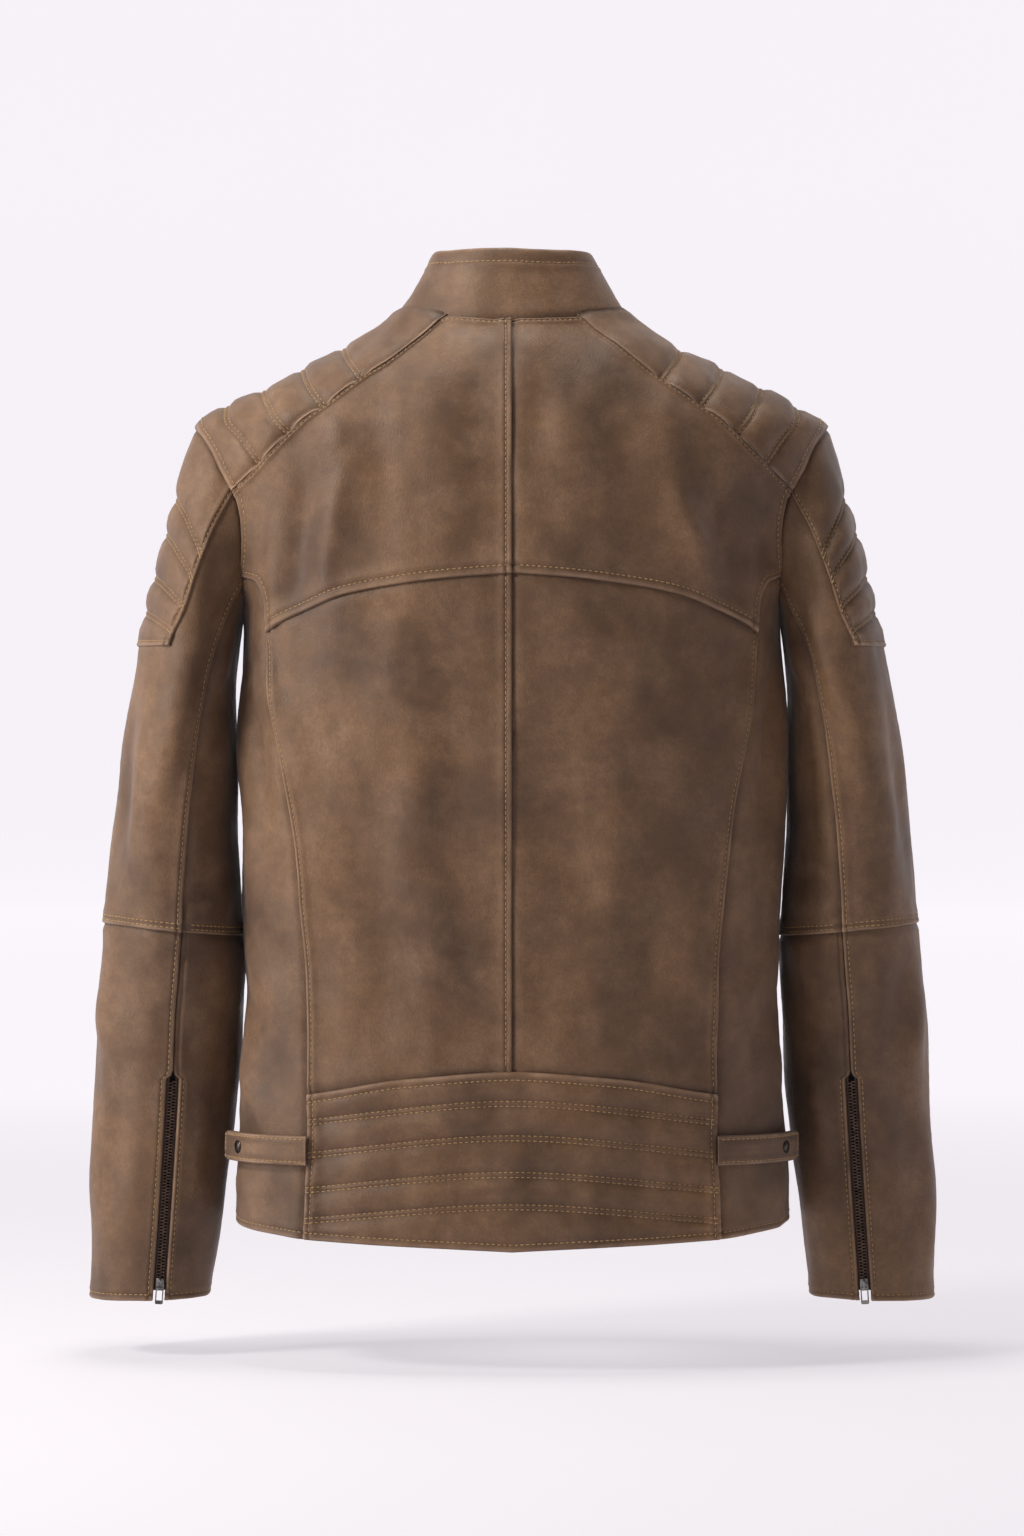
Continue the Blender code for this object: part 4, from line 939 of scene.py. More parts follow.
# The body's pieces.
NARROW = 0.45
TORSO = "torso"
QUILT_ROWS = range(1, 5)
KIDNEY_ROWS = [(-0.552, -0.567), (-0.576, -0.590), (-0.6015, -0.6146), (-0.624, -0.636)]
SHOULDER_ROWS = [(0.1056, 0.1195), (0.1330, 0.1490), (0.1575, 0.1780), (0.1790, 0.2030)]
FRONT_ROW_SHARE = 0.6


def on_body(patch):
    return lambda u, v: body_point(patch(u, v))


def centre_edge(side):
    """The edge at the centre-back seam, where the left piece lies over the right one."""
    return first(OVER, 0.85) if side < 0 else first(UNDER)


def make_back_yoke(patch, side, word):
    grid = Grid(on_body(patch), [centre_edge(side), last(OVER, 1.3)], [first(OVER, NARROW), last(OVER, 1.2)],
                side=side)
    leather_piece(f"back_yoke_{word}", grid, all_edges(grid))
    stitch_edge(TORSO, grid, "down", 0, 4, 6)
    stitch_edge(TORSO, grid, "down", 1, 4, 6)
    stitch_edge(TORSO, grid, "across", 1, 5, 6)
    if side < 0:
        stitch_edge(TORSO, grid, "across", 0, 5, 6)


def make_back_panel(patch, side, word):
    grid = Grid(on_body(patch), [centre_edge(side), last(OVER, 0.7)], [first(UNDER), last(UNDER)], side=side)
    leather_piece(f"back_panel_{word}", grid, all_edges(grid))
    stitch_edge(TORSO, grid, "across", 1, 2, 2)
    if side < 0:
        stitch_edge(TORSO, grid, "across", 0, 2, 2)


def make_side_panel(patch, side, word):
    grid = Grid(on_body(patch), [first(UNDER), last(UNDER)], [first(OVER, 1.3), last(FOLD)], side=side)
    leather_piece(f"side_panel_{word}", grid, all_edges(grid))
    for seam in (0, 1):
        stitch_edge(TORSO, grid, "down", seam, 2, 2)


def make_front_panel(patch, side, word):
    grid = Grid(on_body(patch), [first(FOLD), last(OVER, 0.7)], [first(OVER, NARROW), last(FOLD)], side=side)
    leather_piece(f"front_panel_{word}", grid, all_edges(grid))
    for way in ("down", "across"):
        for seam in (0, 1):
            stitch_edge(TORSO, grid, way, seam, 4, 4)


def spots_of_x(patch, across, x):
    """Where down a patch its surface reaches a distance from the middle, at one place across it."""
    reached = body_point(patch(np.full_like(SAMPLES, across), SAMPLES))[:, 0]
    return np.interp(x, reached, SAMPLES)


def make_shoulder_panel(patch, side, word):
    def row(at_seam, at_ridge):
        back, ridge = spots_of_x(patch, 0.0, at_seam), spots_of_x(patch, 0.5, at_ridge)

        def place(t):
            behind, before = np.clip(1 - 2 * t, 0, 1), np.clip(2 * t - 1, 0, 1)
            return ridge + (back - ridge) * behind + FRONT_ROW_SHARE * (back - ridge) * before

        return quilt_seam(place)

    rows = [first(UNDER)] + [row(*ends) for ends in SHOULDER_ROWS] + [last(OVER, 1.3)]
    grid = Grid(on_body(patch), [first(QUILT), last(QUILT)], rows, side=side)
    relief = 0.0006 + edge_relief(grid, "across") * 0.7 + quilted(grid, QUILT_ROWS)
    relief += edge_relief(grid, "down")
    made = leather_piece(f"shoulder_panel_{word}", grid, np.clip(relief, -0.0026, 0.0036))
    quilt_stitches(TORSO, grid, QUILT_ROWS)
    stitch_edge(TORSO, grid, "down", 5, 2, 2)


def make_kidney_panel():
    def row(middle, side_height):
        def place(t):
            wanted = middle + (side_height - middle) * (2 * t - 1) ** 2
            top = smooth(KIDNEY_TOP, KIDNEY_SIDE[0][0] * (2 * t - 1))
            bottom = smooth(HEM, np.abs(KIDNEY_SIDE[-1][0] * (2 * t - 1)))
            return (top - wanted) / (top - bottom)

        return quilt_seam(place)

    rows = [first(OVER, 1.2)] + [row(*ends) for ends in KIDNEY_ROWS] + [last(FOLD)]
    grid = Grid(on_body(kidney_patch()), [first(OVER), last(OVER)], rows)
    near_side = np.minimum(grid.across[0], -grid.across[1])
    near_edge = np.minimum(grid.down[0], -grid.down[5])
    flat = eased((near_side - 0.0050) / 0.006) * eased((near_edge - 0.0060) / 0.006)
    relief = (quilted(grid, QUILT_ROWS) + 0.0010) * flat + all_edges(grid)
    made = leather_piece("kidney_panel", grid, np.clip(relief, -0.0024, 0.0036))
    quilt_stitches(TORSO, grid, QUILT_ROWS)
    for seam in (0, 5):
        stitch_edge(TORSO, grid, "down", seam, 2, 2)
    for seam in (0, 1):
        stitch_edge(TORSO, grid, "across", seam, 3, 3)


def kidney_patch():
    left_side = [(-turn, height) for turn, height in KIDNEY_SIDE]
    corner = KIDNEY_SIDE[-1][0]
    return between(route(KIDNEY_TOP), hem_way(-corner, corner), route(left_side), route(KIDNEY_SIDE))


ZIP_LEATHER_GAP = 0.0044


def front_edge(t):
    """The edge of the front beside the zip, from the neck seam down to the hem."""
    height = -NECK_FRONT_DROP + (HEM[-1][1] + NECK_FRONT_DROP) * t
    return stacked(180 - np.degrees(np.arctan(ZIP_LEATHER_GAP / front_depth(height))), height)


def body_patches():
    """The cut pieces of the wearer's right half of the body, as places at (across, down)."""
    yoke_seam, back_seam, front_seam = route(YOKE_SEAM), route(SHOULDER_BACK_SEAM), route(SHOULDER_FRONT_SEAM)
    side_seam, kidney_top = route(SIDE_SEAM), route(KIDNEY_TOP)
    neck_corner, front_corner = SHOULDER_BACK_SEAM[0][0], SHOULDER_FRONT_SEAM[0][0]
    hem_corner = KIDNEY_SIDE[-1][0]
    back_edge = joined(route(YOKE_SIDE), joined(route(PRINCESS_SEAM), route(KIDNEY_SIDE), 0.76), 0.10)
    zip_top, zip_bottom = front_edge(np.array(0.0))[0], front_edge(np.array(1.0))[0]
    return {
        "back_yoke": between(
            joined(neck_way(0, neck_corner), back_seam, 0.24),
            yoke_seam,
            straight((0, 0), YOKE_SEAM[0]),
            joined(armhole_way(ARMHOLE_AT_SEAM, ARMHOLE_AT_YOKE), route(YOKE_SIDE), 0.56),
        ),
        "back_panel": between(
            yoke_seam,
            lambda t: kidney_top(0.5 + t / 2),
            straight(YOKE_SEAM[0], KIDNEY_TOP[len(KIDNEY_TOP) // 2]),
            route(PRINCESS_SEAM),
        ),
        "side_panel": between(
            armhole_way(ARMHOLE_AT_YOKE, 360 - ARMHOLE_AT_YOKE),
            hem_way(hem_corner, SIDE_SEAM[-1][0]),
            back_edge,
            side_seam,
        ),
        "shoulder_panel": between(
            neck_way(neck_corner, front_corner),
            armhole_way(ARMHOLE_AT_SEAM, -ARMHOLE_AT_SEAM),
            back_seam,
            front_seam,
        ),
        "front_panel": between(
            joined(neck_way(zip_top, front_corner), front_seam, 0.42),
            hem_way(zip_bottom, SIDE_SEAM[-1][0]),
            front_edge,
            joined(armhole_way(-ARMHOLE_AT_SEAM, -ARMHOLE_AT_YOKE), side_seam, 0.25),
        ),
    }


COLLAR_BAND = 0.0105
COLLAR_LINING_DEPTH = 0.0026


def make_collar():
    """The stand collar: a stitched band along its folded top, and a lining of the same leather."""
    def surface(u, v):
        return collar_point(stacked(COLLAR_END_TURN * (2 * u - 1), 1 - v))

    band = [(0.0, -0.0012), (0.0004, -0.0002), (0.0012, 0.0006), (0.0026, 0.0010), (0.0060, 0.0009),
            (0.0090, 0.0006), (COLLAR_BAND, 0.0), (0.0120, 0.0004), (0.0140, 0.0005), (0.0160, 0.0)]
    grid = Grid(surface, [first(FOLD, 0.6), last(FOLD, 0.6)], [first(band), last(UNDER)])
    leather_piece("collar_outer", grid, all_edges(grid))
    stitch_edge(TORSO, grid, "down", 0, 3, 3, COLLAR_BAND)
    for seam in (0, 1):
        stitch_edge(TORSO, grid, "across", seam, 2, 4)
    normals, flip = outward_normals(grid.points, body_middle)
    inner = grid.points + normals * (body_folds(grid.points, 1) - COLLAR_LINING_DEPTH)[..., None]
    lining = closed_sheet("visual_collar_lining", inner, normals, LEATHER, LEATHER_FINISH, flip)
    placed(lining, "collar_lining")


def make_body():
    patches = body_patches()
    makers = {"back_yoke": make_back_yoke, "back_panel": make_back_panel, "side_panel": make_side_panel,
              "shoulder_panel": make_shoulder_panel, "front_panel": make_front_panel}
    for word, side in SIDE_OF.items():
        for kind, maker in makers.items():
            maker(patches[kind], side, word)
    make_kidney_panel()
    make_collar()


def finish_stitches():
    """One piece of thread for each body, from all the rows of stitches sewn on it."""
    for group, rows in STITCHES.items():
        mesh = stitches_mesh(f"stitches_{group}", rows)
        made = new_object(f"visual_stitches_{group}", mesh, THREAD_FINISH)
        kind, _, word = group.rpartition("_")
        if kind in BLEND_AT:
            bent(made, kind, SIDE_OF[word])
        elif kind == "strap":
            bent_strap(made)
        else:
            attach(made, group)


# The sleeves' pieces.
PATCH_FROM = 1 / 7
PATCH_ROWS = (0.080, 0.120, 0.170, 0.210)
PATCH_ROW_FALL = 0.020
SUNK_UNDER_PATCH = 0.0056
BESIDE_PATCH = [-0.012, -0.006, -0.003, 0.0, 0.003, 0.006, 0.012]
ELBOW_STITCHES = (0.0030, 0.0062)
ELBOW_LAP = [(0.0, -0.0002), (0.0004, 0.0007), (0.0012, 0.0012), (0.0022, 0.0011), (0.0030, 0.0005),
             (0.0046, 0.0009), (0.0062, 0.0004), (0.0078, 0.0008), (0.0110, 0.0004), (0.0150, 0.0)]


def seam_turn(along, seam, inset=0.0):
    """The turn of a sleeve seam, moved forwards round the sleeve by an inset in metres."""
    turn = smooth(seam, along)
    step = sleeve_point(stacked(along, turn + 1)) - sleeve_point(stacked(along, turn))
    return turn - inset / np.linalg.norm(step, axis=-1)


def patch_row(along, turn):
    """Rows round the sleeve head, which rise towards the edges of the quilt patch."""
    rise = np.where(along < PATCH_END, along / PATCH_END, (ELBOW - along) / (ELBOW - PATCH_END))
    return along - PATCH_END_CURVE * np.minimum(1.0, (turn / PATCH_EDGE[0][1]) ** 2) * rise


def quilt_patch(u, v):
    along = PATCH_END * v
    turn = smooth(PATCH_EDGE, along) * (1 - 2 * u)
    return sleeve_point(stacked(patch_row(along, turn), turn))


def upper_outer(u, v):
    """The outer half of the upper sleeve, whose grid follows the edges of the quilt patch."""
    along = np.where(v < 0.5, PATCH_END * v / 0.5, PATCH_END + (ELBOW - PATCH_END) * (v - 0.5) / 0.5)
    patch = smooth(PATCH_EDGE, along)
    back, front = smooth(BACK_SLEEVE_SEAM, along), smooth(FRONT_SLEEVE_SEAM, along)
    turn = patch * (1 - 2 * (u - PATCH_FROM) / (1 - 2 * PATCH_FROM))
    turn = np.where(u < PATCH_FROM, back + (patch - back) * u / PATCH_FROM, turn)
    turn = np.where(u > 1 - PATCH_FROM, front + (-patch - front) * (1 - u) / PATCH_FROM, turn)
    return sleeve_point(stacked(patch_row(along, turn), turn))


def upper_under(u, v):
    along = ELBOW * v
    start, finish = smooth(BACK_SLEEVE_SEAM, along), 360 + smooth(FRONT_SLEEVE_SEAM, along)
    turn = start + (finish - start) * u
    return sleeve_point(stacked(patch_row(along, np.minimum(turn, 360 - turn)), turn))


def zip_inset(along):
    """How far the leather stands back from the back sleeve seam: nothing above the cuff zip."""
    return ZIP_LEATHER_GAP * eased((along - CUFF_ZIP_TOP + 0.006) / 0.006)


def forearm(u, v, under):
    along = ELBOW + (1 - ELBOW) * v
    start = seam_turn(along, BACK_SLEEVE_SEAM, zip_inset(along) * (-1 if under else 1))
    finish = smooth(FRONT_SLEEVE_SEAM, along) + (360 if under else 0)
    return sleeve_point(stacked(along, start + (finish - start) * u))


def row_fall(row):
    """Where down the quilt patch a row runs: level over the sleeve and falling towards its edges."""
    return lambda t: (row + PATCH_ROW_FALL * (2 * t - 1) ** 2) / PATCH_END


def make_sleeve_patch(side, word):
    """The padded, quilted patch over the sleeve head."""
    rows = [first(UNDER)] + [quilt_seam(row_fall(row)) for row in PATCH_ROWS] + [last(OVER, 0.8)]
    grid = Grid(quilt_patch, [first(OVER, 0.7), last(OVER, 0.7)], rows, side=side)
    near_side = np.minimum(grid.across[0], -grid.across[1])
    near_end = -grid.down[5]
    flat = eased((near_side - 0.001) / 0.006) * eased((near_end - 0.003) / 0.008)
    relief = 0.0004 + (quilted(grid, QUILT_ROWS) + 0.0012) * flat + all_edges(grid)
    relief = np.clip(relief, -0.0024, 0.0040)
    made = leather_piece(f"sleeve_patch_{word}", grid, relief, sleeve_folds, sleeve_middle(side))
    group = f"sleeve_upper_{word}"
    quilt_stitches(group, grid, QUILT_ROWS)
    for seam in (0, 1):
        stitch_edge(group, grid, "across", seam, 4, 4)
    stitch_edge(group, grid, "down", 5, 4, 4)


def make_upper_sleeve(side, word):
    """The outer half of the upper sleeve, sunk where the patch lies on it, and the under half."""
    middle = sleeve_middle(side)
    group = f"sleeve_upper_{word}"
    columns = [first(OVER, 0.7), level(PATCH_FROM, BESIDE_PATCH), level(1 - PATCH_FROM, BESIDE_PATCH),
               last(OVER, 0.7)]
    grid = Grid(upper_outer, columns, [first(UNDER), level(0.5, BESIDE_PATCH), last(ELBOW_LAP)], side=side)
    depth = np.minimum(np.minimum(grid.across[1], -grid.across[2]), -grid.down[1])
    relief = all_edges(grid) - SUNK_UNDER_PATCH * eased((depth - 0.002) / 0.006)
    leather_piece(f"upper_sleeve_outer_{word}", grid, relief, sleeve_folds, middle)
    for seam in (0, 3):
        stitch_edge(group, grid, "across", seam, 4, 4)
    for at in ELBOW_STITCHES:
        stitch_edge(group, grid, "down", 2, 3, 3, at)

    grid = Grid(upper_under, [first(UNDER), last(UNDER)], [first(UNDER), last(ELBOW_LAP)], side=side)
    leather_piece(f"upper_sleeve_under_{word}", grid, all_edges(grid), sleeve_folds, middle)
    for at in ELBOW_STITCHES:
        stitch_edge(group, grid, "down", 1, 4, 4, at)


def make_forearm(side, word, kind, under):
    """One half of the forearm, whose back edge is free beside the cuff zip and sewn above it."""
    zip_row = level((CUFF_ZIP_TOP - ELBOW) / (1 - ELBOW), [-0.004, -0.002, 0.0, 0.002])
    columns = [first(FOLD, 0.7), last(UNDER if under else OVER, 0.7)]
    grid = Grid(lambda u, v: forearm(u, v, under), columns, [first(UNDER), zip_row, last(FOLD)], side=side)
    above_zip = 1 - eased((ELBOW + (1 - ELBOW) * grid.v - CUFF_ZIP_TOP + 0.006) / 0.006)
    near = eased(1 - grid.across[0] / 0.006)
    relief = edge_relief(grid, "across") + above_zip * near * (-0.0018 if under else 0.0006)
    relief += edge_relief(grid, "down")
    leather_piece(f"{kind}_{word}", grid, relief, sleeve_folds, sleeve_middle(side))
    group = f"forearm_{word}"
    stitch_edge(group, grid, "across", 0, grid.rows[1, 0.0] if under else 4, 5)
    if not under:
        stitch_edge(group, grid, "across", 1, 4, 5)
    stitch_edge(group, grid, "down", 2, 5, 3)


def make_sleeve(side, word):
    make_sleeve_patch(side, word)
    make_upper_sleeve(side, word)
    make_forearm(side, word, "forearm_outer", False)
    make_forearm(side, word, "forearm_under", True)


# Linings and wadding, on the same surfaces a set depth below the leather.
LINING_DEPTH = 0.0110
SLEEVE_LINING_DEPTH = 0.0080
WADDING_DEPTH = 0.0042
SHOULDER_WADDING_DEPTH = 0.0046
SLEEVE_WADDING_DEPTH = 0.0034
LINING = 0.0008
WADDING = 0.0018
HIDDEN_STEP = 0.008


def inset(surface, margin):
    """The surface with about the same margin cut from its four edges."""
    spots = surface(SAMPLES, SAMPLES * 0 + 0.5)
    width = lengths_along(spots[None])[0, -1]
    height = lengths_along(surface(SAMPLES * 0 + 0.5, SAMPLES)[None])[0, -1]
    side, end = margin / width, margin / height
    return lambda u, v: surface(side + u * (1 - 2 * side), end + v * (1 - 2 * end))


def hidden_sheet(name, surface, side, depth, thickness, finish, middle, margin, puff=0.0, folds=None):
    """A smooth sheet below the surface, such as a lining or a layer of wadding, which follows any folds."""
    ends = [first(PLAIN), last(PLAIN)]
    grid = Grid(inset(surface, margin), ends, ends, HIDDEN_STEP, side)
    normals, flip = outward_normals(grid.points, middle)
    drape = ripples(grid.points, 0.045, 21) * puff
    if folds:
        drape = drape + folds(grid.points, side)
    outer = grid.points - normals * (depth - drape)[..., None]
    made = closed_sheet(f"visual_{name}", outer, normals, thickness, finish, flip)
    return placed(made, name)


def lining_side(front):
    """The edge of the lining: down the shoulder ridge, round the armhole and down the side."""
    ridge = straight((90, NECK_SIDE_HEIGHT), (90, ARMHOLE_TOP))
    round_armhole = armhole_way(0, -180 if front else 180)
    side = straight((90, ARMHOLE_TOP - ARMHOLE_DROP), (90, HEM[3][1]))
    return joined(ridge, joined(round_armhole, side, 0.223), 0.125)


LINING_FRONT_TURN = 173.0
LINING_MARGIN = 0.003
LINING_DRAPE = 0.0008
WADDING_MARGIN = 0.009


def body_lining(name, patch, side):
    hidden_sheet(name, on_body(patch), side, LINING_DEPTH, LINING, LINING_FINISH, body_middle,
                 LINING_MARGIN, LINING_DRAPE)


def wadding(name, surface, side, depth, middle, folds):
    made = hidden_sheet(name, surface, side, depth, WADDING, WADDING_FINISH, middle,
                        WADDING_MARGIN, folds=folds)


def make_linings():
    back_side = lining_side(False)
    back = between(
        neck_way(-90, 90), hem_way(-90, 90), lambda t: back_side(t) * np.array([-1, 1]), back_side
    )
    body_lining("back_lining", back, 1)
    edge_top = (LINING_FRONT_TURN, float(neck_height(np.array(LINING_FRONT_TURN))))
    front = between(
        neck_way(90, LINING_FRONT_TURN),
        hem_way(90, LINING_FRONT_TURN),
        lining_side(True),
        straight(edge_top, (LINING_FRONT_TURN, HEM[-1][1])),
    )
    kidney = on_body(kidney_patch())
    wadding("kidney_wadding", kidney, 1, WADDING_DEPTH, body_middle, body_folds)
    shoulder = on_body(body_patches()["shoulder_panel"])
    for word, side in SIDE_OF.items():
        body_lining(f"front_lining_{word}", front, side)
        wadding(f"shoulder_wadding_{word}", shoulder, side, SHOULDER_WADDING_DEPTH, body_middle, body_folds)
        wadding(f"sleeve_wadding_{word}", quilt_patch, side, SLEEVE_WADDING_DEPTH, sleeve_middle(side),
                sleeve_folds)
        sleeve_tube(f"upper_sleeve_lining_{word}", 0.020, ELBOW - 0.010, side)
        sleeve_tube(f"forearm_lining_{word}", ELBOW + 0.010, 0.985, side)


TUBE_SIDES = 72
TUBE_ROWS = 40


def sleeve_tube(name, start, finish, side):
    """A sleeve's lining, open at both ends."""
    turns = np.arange(TUBE_SIDES) * 360 / TUBE_SIDES
    along, turn = np.meshgrid(np.linspace(start, finish, TUBE_ROWS), turns, indexing="ij")
    points = sleeve_point(stacked(along, turn)) * np.array([side, 1, 1])
    ahead = np.roll(points, -1, axis=1) - np.roll(points, 1, axis=1)
    normals = np.cross(ahead, np.gradient(points, axis=0))
    normals /= np.linalg.norm(normals, axis=-1, keepdims=True)
    flip = np.sum(normals * (points - sleeve_middle(side)(points))) > 0
    normals = normals if flip else -normals
    drape = sleeve_folds(points, side) + ripples(points, 0.04, 22) * 0.0004
    outer = points - normals * (SLEEVE_LINING_DEPTH - drape)[..., None]
    count = TUBE_ROWS * TUBE_SIDES
    both = np.concatenate([outer.reshape(-1, 3), (outer - normals * LINING).reshape(-1, 3)])
    faces = [grid_faces(TUBE_ROWS, TUBE_SIDES, base, turned, closed=True)
             for base, turned in ((0, flip), (count, not flip))]
    ring = np.arange(TUBE_SIDES)
    after = np.roll(ring, -1)
    for base, turned in ((0, not flip), (count - TUBE_SIDES, flip)):
        quads = np.stack([ring + base, after + base, after + base + count, ring + base + count], -1)
        faces.append(quads[:, ::-1] if turned else quads)
    mesh = new_mesh(f"visual_{name}", both, np.concatenate(faces).tolist())
    placed(new_object(f"visual_{name}", mesh, LINING_FINISH), name)


# Zips.
TAPE_DEPTH = 0.0023
TAPE = 0.0006
TAPE_FROM = 0.0022
TAPE_TO = 0.0130
TAPE_CORD = [(0.0, 0.0), (0.0003, 0.0005), (0.0009, 0.0007), (0.0015, 0.0005), (0.0019, 0.0)]
CHAIN_HALF_WIDTH = 0.0027
CHAIN_TOP = -0.0008
CHAIN_BOTTOM = -0.0032
TOOTH_PITCH = 0.0023
TOOTH_LENGTH = 0.00105
CUFF_ZIP_END = 0.988
CUFF_TAPE_TOP = 0.722
FRONT_ZIP_TOP = -0.070
FRONT_ZIP_END = -0.640
TAPE_END = 0.004


class ZipFrame:
    """A zip's own frame at its lower end: X across the chain, Y up it and Z out of the jacket."""

    def __init__(self, bottom, top, outwards):
        up = (top - bottom) / np.linalg.norm(top - bottom)
        across = np.cross(up, outwards)
        across /= np.linalg.norm(across)
        self.axes = np.stack([across, up, np.cross(across, up)])
        self.origin = bottom
        self.length = float(np.linalg.norm(top - bottom))

    def at(self, points):
        return self.origin + np.asarray(points, float) @ self.axes


BOX_FACES = np.array([[0, 1, 3, 2], [4, 6, 7, 5], [0, 4, 5, 1], [2, 3, 7, 6], [0, 2, 6, 4], [1, 5, 7, 3]])


def tooth_corners(low, high, taper):
    """Eight corners of a tooth that narrows towards the zip's middle and its top."""
    corners = []
    for z, top in ((low[2], 0), (high[2], 1)):
        for y_end in (0, 1):
            for x_end in (0, 1):
                x = high[0] if x_end else low[0]
                inner = abs(x) < CHAIN_HALF_WIDTH * 0.5
                squeeze = taper * (1.0 if inner else 0.3) + 0.10 * top
                middle = (low[1] + high[1]) / 2
                y = middle + ((high[1] if y_end else low[1]) - middle) * (1 - squeeze)
                corners.append((x * (1 - 0.06 * top), y, z))
    return corners


def make_teeth(name, frame, start, finish):
    """Two rows of separate teeth that mesh along the middle."""
    points, faces = [], []
    count = int((finish - start) / TOOTH_PITCH)
    for k in range(count):
        for side in (-1, 1):
            y = start + TOOTH_PITCH * (k + (0.5 if side > 0 else 0.0))
            ends = sorted((side * CHAIN_HALF_WIDTH, -side * 0.0005))
            low = (ends[0], y, CHAIN_BOTTOM)
            high = (ends[1], y + TOOTH_LENGTH * 1.25, CHAIN_TOP)
            faces += (BOX_FACES + len(points)).tolist()
            points += tooth_corners(low, high, 0.22)
    mesh = new_mesh(f"visual_{name}", frame.at(points), faces)
    tidy_normals(mesh)
    mesh.shade_flat()
    placed(new_object(f"visual_{name}", mesh, TEETH_FINISH), name)


def make_tape(name, face, middle, side):
    """Two strips of woven tape, each with a thicker cord beside the teeth."""
    points, faces = [], []
    for strip in (1, -1):
        def surface(u, v, strip=strip):
            return face(strip * (TAPE_FROM + (TAPE_TO - TAPE_FROM) * u), v)

        grid = Grid(surface, [first(TAPE_CORD), last(PLAIN)], [first(PLAIN), last(PLAIN)], FINE_STEP, side)
        normals, flip = outward_normals(grid.points, middle)
        outer = grid.points - normals * (TAPE_DEPTH - raised(grid.across[0], TAPE_CORD))[..., None]
        rows, columns = outer.shape[:2]
        base = len(points)
        points += outer.reshape(-1, 3).tolist() + (outer - normals * TAPE).reshape(-1, 3).tolist()
        parts = (grid_faces(rows, columns, 0, flip), grid_faces(rows, columns, rows * columns, not flip),
                 rim_faces(rows, columns, not flip))
        faces += (np.concatenate(parts) + base).tolist()
    mesh = new_mesh(f"visual_{name}", np.array(points), faces)
    placed(new_object(f"visual_{name}", mesh, TAPE_FINISH), name)


def rounded(half_width, low, high, corner, narrow=1.0, steps=4):
    """The outline of a plate from low to high, with round corners and its upper end narrowed."""
    outline = []
    for x, y, start in ((1, low, -90), (1, high, 0), (-1, high, 90), (-1, low, 180)):
        wide = half_width * (narrow if y == high else 1.0)
        centre = (x * (wide - corner), y + corner if y == low else y - corner)
        for k in range(steps + 1):
            angle = math.radians(start + 90 * k / steps)
            outline.append((centre[0] + corner * math.cos(angle), centre[1] + corner * math.sin(angle)))
    return outline


def slab(points, faces, outline, low, high, bevel=0.00018):
    """Adds a plate with small bevels round both faces."""
    count = len(outline)
    shape = np.array(outline)
    middle = shape.mean(axis=0)
    inner = middle + (shape - middle) * (1 - bevel / np.abs(shape - middle).max())
    base = len(points)
    for outline_now, z in ((inner, low), (shape, low + bevel), (shape, high - bevel), (inner, high)):
        points += [(x, y, z) for x, y in outline_now]
    for ring in range(3):
        for k in range(count):
            after = (k + 1) % count
            faces.append([base + ring * count + k, base + ring * count + after,
                          base + (ring + 1) * count + after, base + (ring + 1) * count + k])
    faces.append([base + k for k in range(count)][::-1])
    faces.append([base + 3 * count + k for k in range(count)])


def hoop(points, faces, outer, inner, low, high):
    """Adds a flat frame between two outlines of as many points."""
    count = len(outer)
    base = len(points)
    mid_out, mid_in = np.array(outer), np.array(inner)
    bevel = 0.12
    soft_out = mid_out + (mid_in - mid_out) * bevel
    soft_in = mid_in + (mid_out - mid_in) * bevel
    rise = 0.0002
    loops = ((soft_out, low), (mid_out, low + rise), (mid_out, high - rise), (soft_out, high),
             (soft_in, high), (mid_in, high - rise), (mid_in, low + rise), (soft_in, low))
    for outline, z in loops:
        points += [(x, y, z) for x, y in outline]
    for ring in range(len(loops)):
        following = (ring + 1) % len(loops)
        for k in range(count):
            after = (k + 1) % count
            faces.append([base + ring * count + k, base + ring * count + after,
                          base + following * count + after, base + following * count + k])


SLIDER_GAP = 0.0003
SLIDER_PLATE = 0.0009
SLIDER_HALF_WIDTH = 0.0032
STAPLE_WINDOW = 0.0015
STAPLE_BAR = 0.0007
STAPLE_HALF_WIDTH = 0.0007
STAPLE_MARGIN = 0.0008
BRIDGE_HALF_WIDTH = 0.00025
PULL_BAR = 0.0008
PULL_HALF_WIDTH = 0.0029
TONGUE_SHARE = 0.40
TONGUE_LENGTH = 0.0050
CUFF_SLIDER_LENGTH = 0.009
CUFF_PULL_LENGTH = 0.0125
FRONT_SLIDER_LENGTH = 0.012
FRONT_PULL_LENGTH = 0.034


def metal_piece(name, frame, points, faces, finish):
    """A metal piece from points in a zip's or a snap's own frame."""
    mesh = new_mesh(f"visual_{name}", frame.at(points), faces)
    tidy_normals(mesh)
    mesh.set_sharp_from_angle(angle=math.radians(35))
    return placed(new_object(f"visual_{name}", mesh, finish), name)


